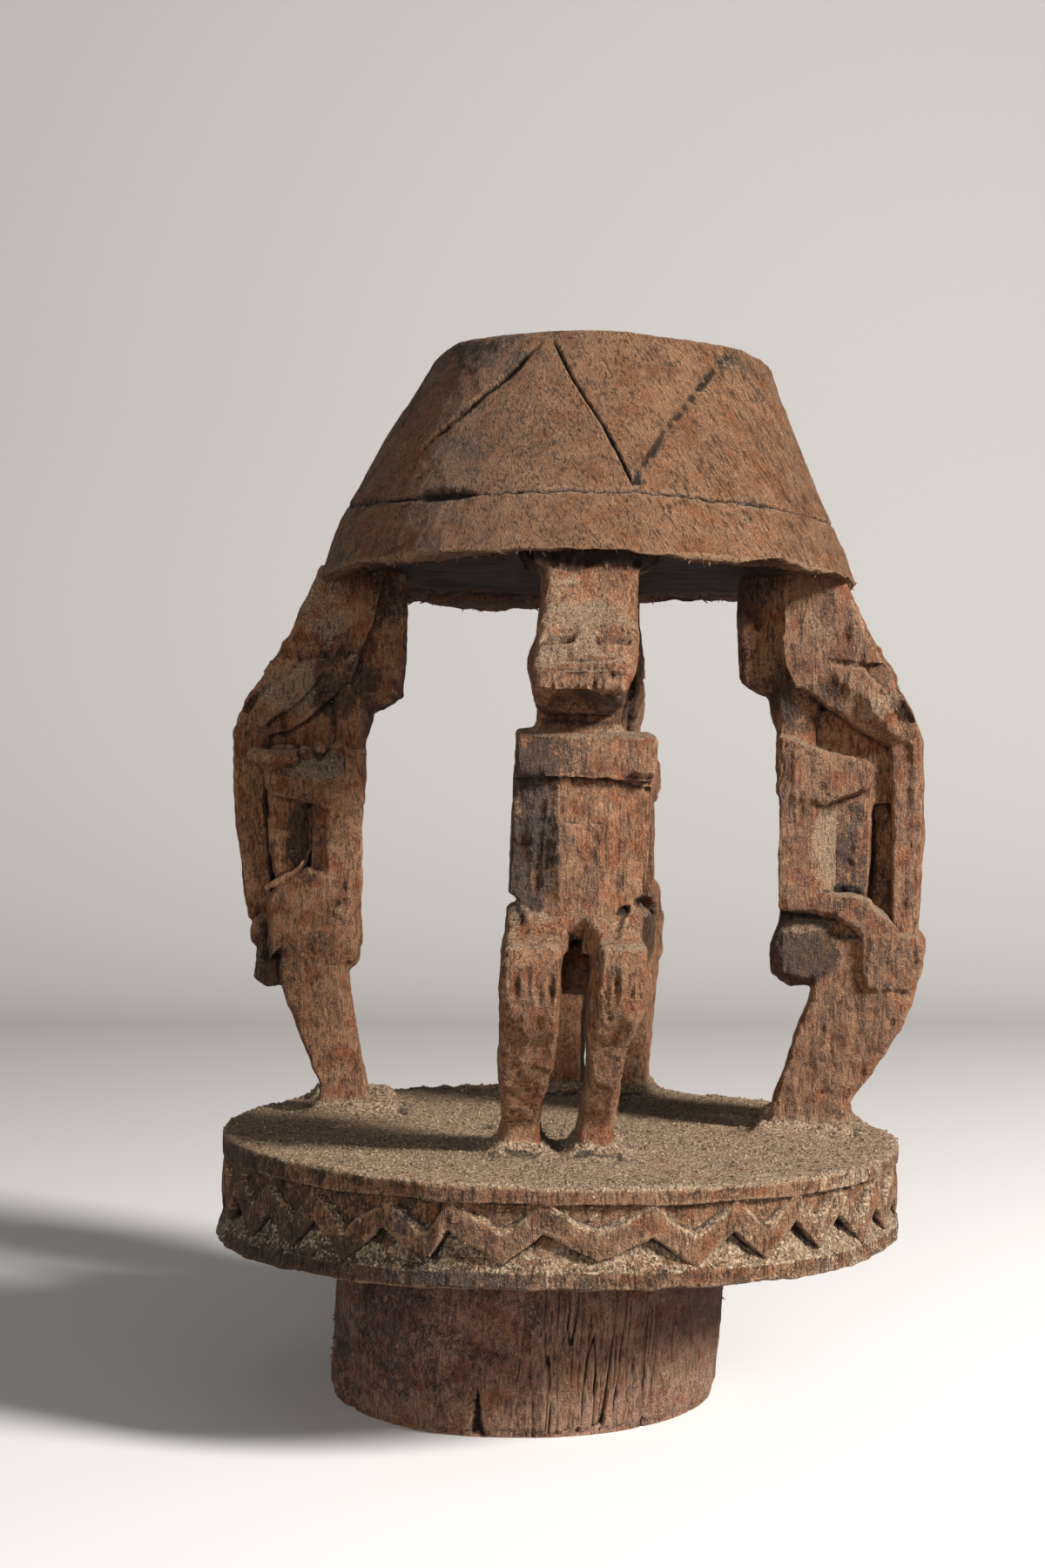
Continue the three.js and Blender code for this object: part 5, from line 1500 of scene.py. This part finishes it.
# Old handled wood from its own colours: bare wood dark and light, a red cast, worn ridges, dark grime, and
# pale dust; creases and hollows are painted dark as shade, and the grime and dust also carry painted shade and
# highlights
def wood_material(name, groups, colours, tilt=(0, 0, 0), hatch=1.0, fineness=2.0):
    material = bpy.data.materials.new(name)
    material.use_nodes = True
    tree = material.node_tree
    tree.nodes.clear()
    place = node(tree, "ShaderNodeTexCoord").outputs["Object"]
    place = mapped(tree, place, Scale=(1 / METRES, 1 / METRES, 1 / METRES))
    masks = {
        label: node(tree, "ShaderNodeAttribute", attribute_name=label).outputs["Fac"]
        for label in ("dust", "patina", "hollow", "edge")
    }
    dark, light, red, worn, grime_and_shade, dust, dust_dark, deep = (linear(code) for code in colours)
    grain = node(tree, "ShaderNodeGroup", {
        "Place": place, "Tilt": tilt, "Hatch": hatch,
    }, node_tree=groups["grain"])
    tone = grain.outputs["Tone"]
    colour = mixed(tree, tone, dark, light)
    reddish = ranged(tree, noise(tree, place, 0.17, 4, 0.65), 0.48, 0.62, 0.0, 0.8)
    colour = mixed(tree, reddish, colour, mixed(tree, tone, dark, red))
    colour = mixed(tree, ranged(tree, masks["edge"], 0.56, 0.86, 0.0, 0.6), colour, worn)
    coats = [
        node(tree, "ShaderNodeGroup", {
            "Place": mapped(tree, place, Location=spot), "Mask": masks[label],
            "Grit": 1.3, "Fineness": fineness,
        }, node_tree=groups["coat"]).outputs
        for label, spot in (("patina", (31, 7, 3)), ("dust", (5, 43, 17)))
    ]
    # The dark coat, by its mask: old grime, and in places painted shade
    colour = mixed(tree, times(tree, coats[0]["Cover"], 0.8), colour, mixed(tree, tone, deep, grime_and_shade))
    powder = mixed(tree, coats[1]["Grains"], dust_dark, dust)
    # The pale coat, by its mask: dust, and in places a painted highlight
    colour = mixed(tree, times(tree, coats[1]["Cover"], 0.8), colour, powder)
    colour = mixed(tree, times(tree, grain.outputs["Pores"], 0.62), colour, deep)
    # Creases, by the edge mask, are darkened towards the near-black: painted shade
    colour = mixed(tree, ranged(tree, masks["edge"], 0.38, 0.04, 0.0, 0.75), colour, deep)
    # Hollows, by the hollow mask, are darkened towards the near-black: painted shade in recesses, grooves,
    # cracks and under the bowl
    colour = mixed(tree, ranged(tree, masks["hollow"], 0.4, 0.95, 0.0, 0.85), colour, deep)
    height = summed(tree, grain.outputs["Height"], (coats[1]["Grains"], 0.5))
    bump = node(tree, "ShaderNodeBump", {"Height": height, "Strength": 1.0, "Distance": 0.0008})
    surface = node(tree, "ShaderNodeBsdfPrincipled", {
        "Base Color": colour, "Roughness": ranged(tree, coats[1]["Cover"], 0, 1, 0.45, 0.92),
        "Specular IOR Level": 0.45, "Normal": bump.outputs["Normal"],
    })
    node(tree, "ShaderNodeOutputMaterial", {"Surface": surface.outputs[0]})
    return material


# Paper that looks pale to the camera alone, and throws back less light on the object than it shows
def paper_material(name, pale, dim):
    material = bpy.data.materials.new(name)
    material.use_nodes = True
    tree = material.node_tree
    surface = tree.nodes["Principled BSDF"]
    seen = node(tree, "ShaderNodeLightPath").outputs["Is Camera Ray"]
    tree.links.new(mixed(tree, seen, linear(dim), linear(pale)), surface.inputs["Base Color"])
    surface.inputs["Roughness"].default_value = 0.9
    return material


# A floor that rises behind into a wall in one sweep
def make_backdrop():
    turns = np.linspace(0, math.pi / 2, 17)
    sweep = [(0.9 + 0.5 * math.sin(turn), 0.5 - 0.5 * math.cos(turn)) for turn in turns]
    profile = [(-1.6, 0.0), *sweep, (1.4, 2.4)]
    points = [(x, back, up) for back, up in profile for x in (-2.6, 2.6)]
    faces = [(2 * row, 2 * row + 1, 2 * row + 3, 2 * row + 2) for row in range(len(profile) - 1)]
    mesh = bpy.data.meshes.new("backdrop")
    mesh.from_pydata(points, [], faces)
    mesh.shade_smooth()
    mesh.materials.append(paper_material("backdrop_paper", "#f1efed", "#7a7270"))
    placed("backdrop", mesh)


def add_lamp(name, place, aim, size, power, tint):
    lamp = bpy.data.lights.new(name, "AREA")
    lamp.shape = "DISK"
    lamp.size = size
    lamp.energy = power
    lamp.color = tint
    holder = placed(name, lamp)
    holder.location = place
    direction = Matrix.Translation(aim).translation - holder.location
    holder.rotation_euler = direction.to_track_quat("-Z", "Y").to_euler()


def set_stage():
    scene = bpy.context.scene
    scene.view_settings.view_transform = "Standard"
    make_backdrop()
    add_lamp("key_lamp", (1.06, -0.565, 0.74), (0, 0, 0.13), 0.3, 35, (1, 0.97, 0.93))
    add_lamp("fill_lamp", (-0.35, -1.28, 0.24), (0, 0, 0.11), 0.8, 7.5, (1, 0.98, 0.96))
    world = bpy.data.worlds.new("studio")
    world.use_nodes = True
    light = world.node_tree.nodes["Background"].inputs
    light["Color"].default_value = (0.65, 0.62, 0.61, 1)
    light["Strength"].default_value = 0.24
    scene.world = world
    camera = bpy.data.cameras.new("camera")
    camera.sensor_fit = "VERTICAL"
    camera.sensor_height = 36
    camera.lens = 50
    camera.clip_start = 0.01
    camera.clip_end = 20
    holder = placed("camera", camera)
    holder.location = (-0.00225, -0.553, 0.1474)
    holder.rotation_euler = (math.radians(90.46), 0, 0)
    scene.camera = holder


# Each wood's colours: dark, light, red cast, worn ridge, grime (also for painted shade), dust (also for
# painted highlight), dark dust, and the near-black of pores and of painted shade in creases and hollows
WOODS = {
    "figure_wood": (
        ("#603c27", "#c99670", "#b0653d", "#daad89", "#5b4b3c", "#c8ac8d", "#93795f", "#170f0a"),
        dict(hatch=0.8),
    ),
    "bowl_wood": (
        ("#6f4c37", "#b48763", "#a96d43", "#c59a76", "#615647", "#bda284", "#76614b", "#1a120c"),
        dict(tilt=(0, 0.45, 0)),
    ),
    "platform_wood": (
        ("#573a27", "#b68966", "#a4643d", "#cda480", "#5a4938", "#e2cbaa", "#8a7053", "#150e09"),
        dict(fineness=1.3),
    ),
    "foot_wood": (
        ("#6a4a3a", "#d0a287", "#be7858", "#d6aa8a", "#65544a", "#cfab8c", "#8a6a54", "#120c09"),
        dict(hatch=0.7),
    ),
}
groups = {"grain": grain_group(), "coat": coat_group()}
woods = {label: wood_material(label, groups, colours, **look) for label, (colours, look) in WOODS.items()}

make_foot(woods["foot_wood"])
make_platform(woods["platform_wood"])
for label, sizes in FIGURES.items():
    make_figure(label, sizes, woods["figure_wood"])
make_bowl(woods["bowl_wood"])
set_stage()
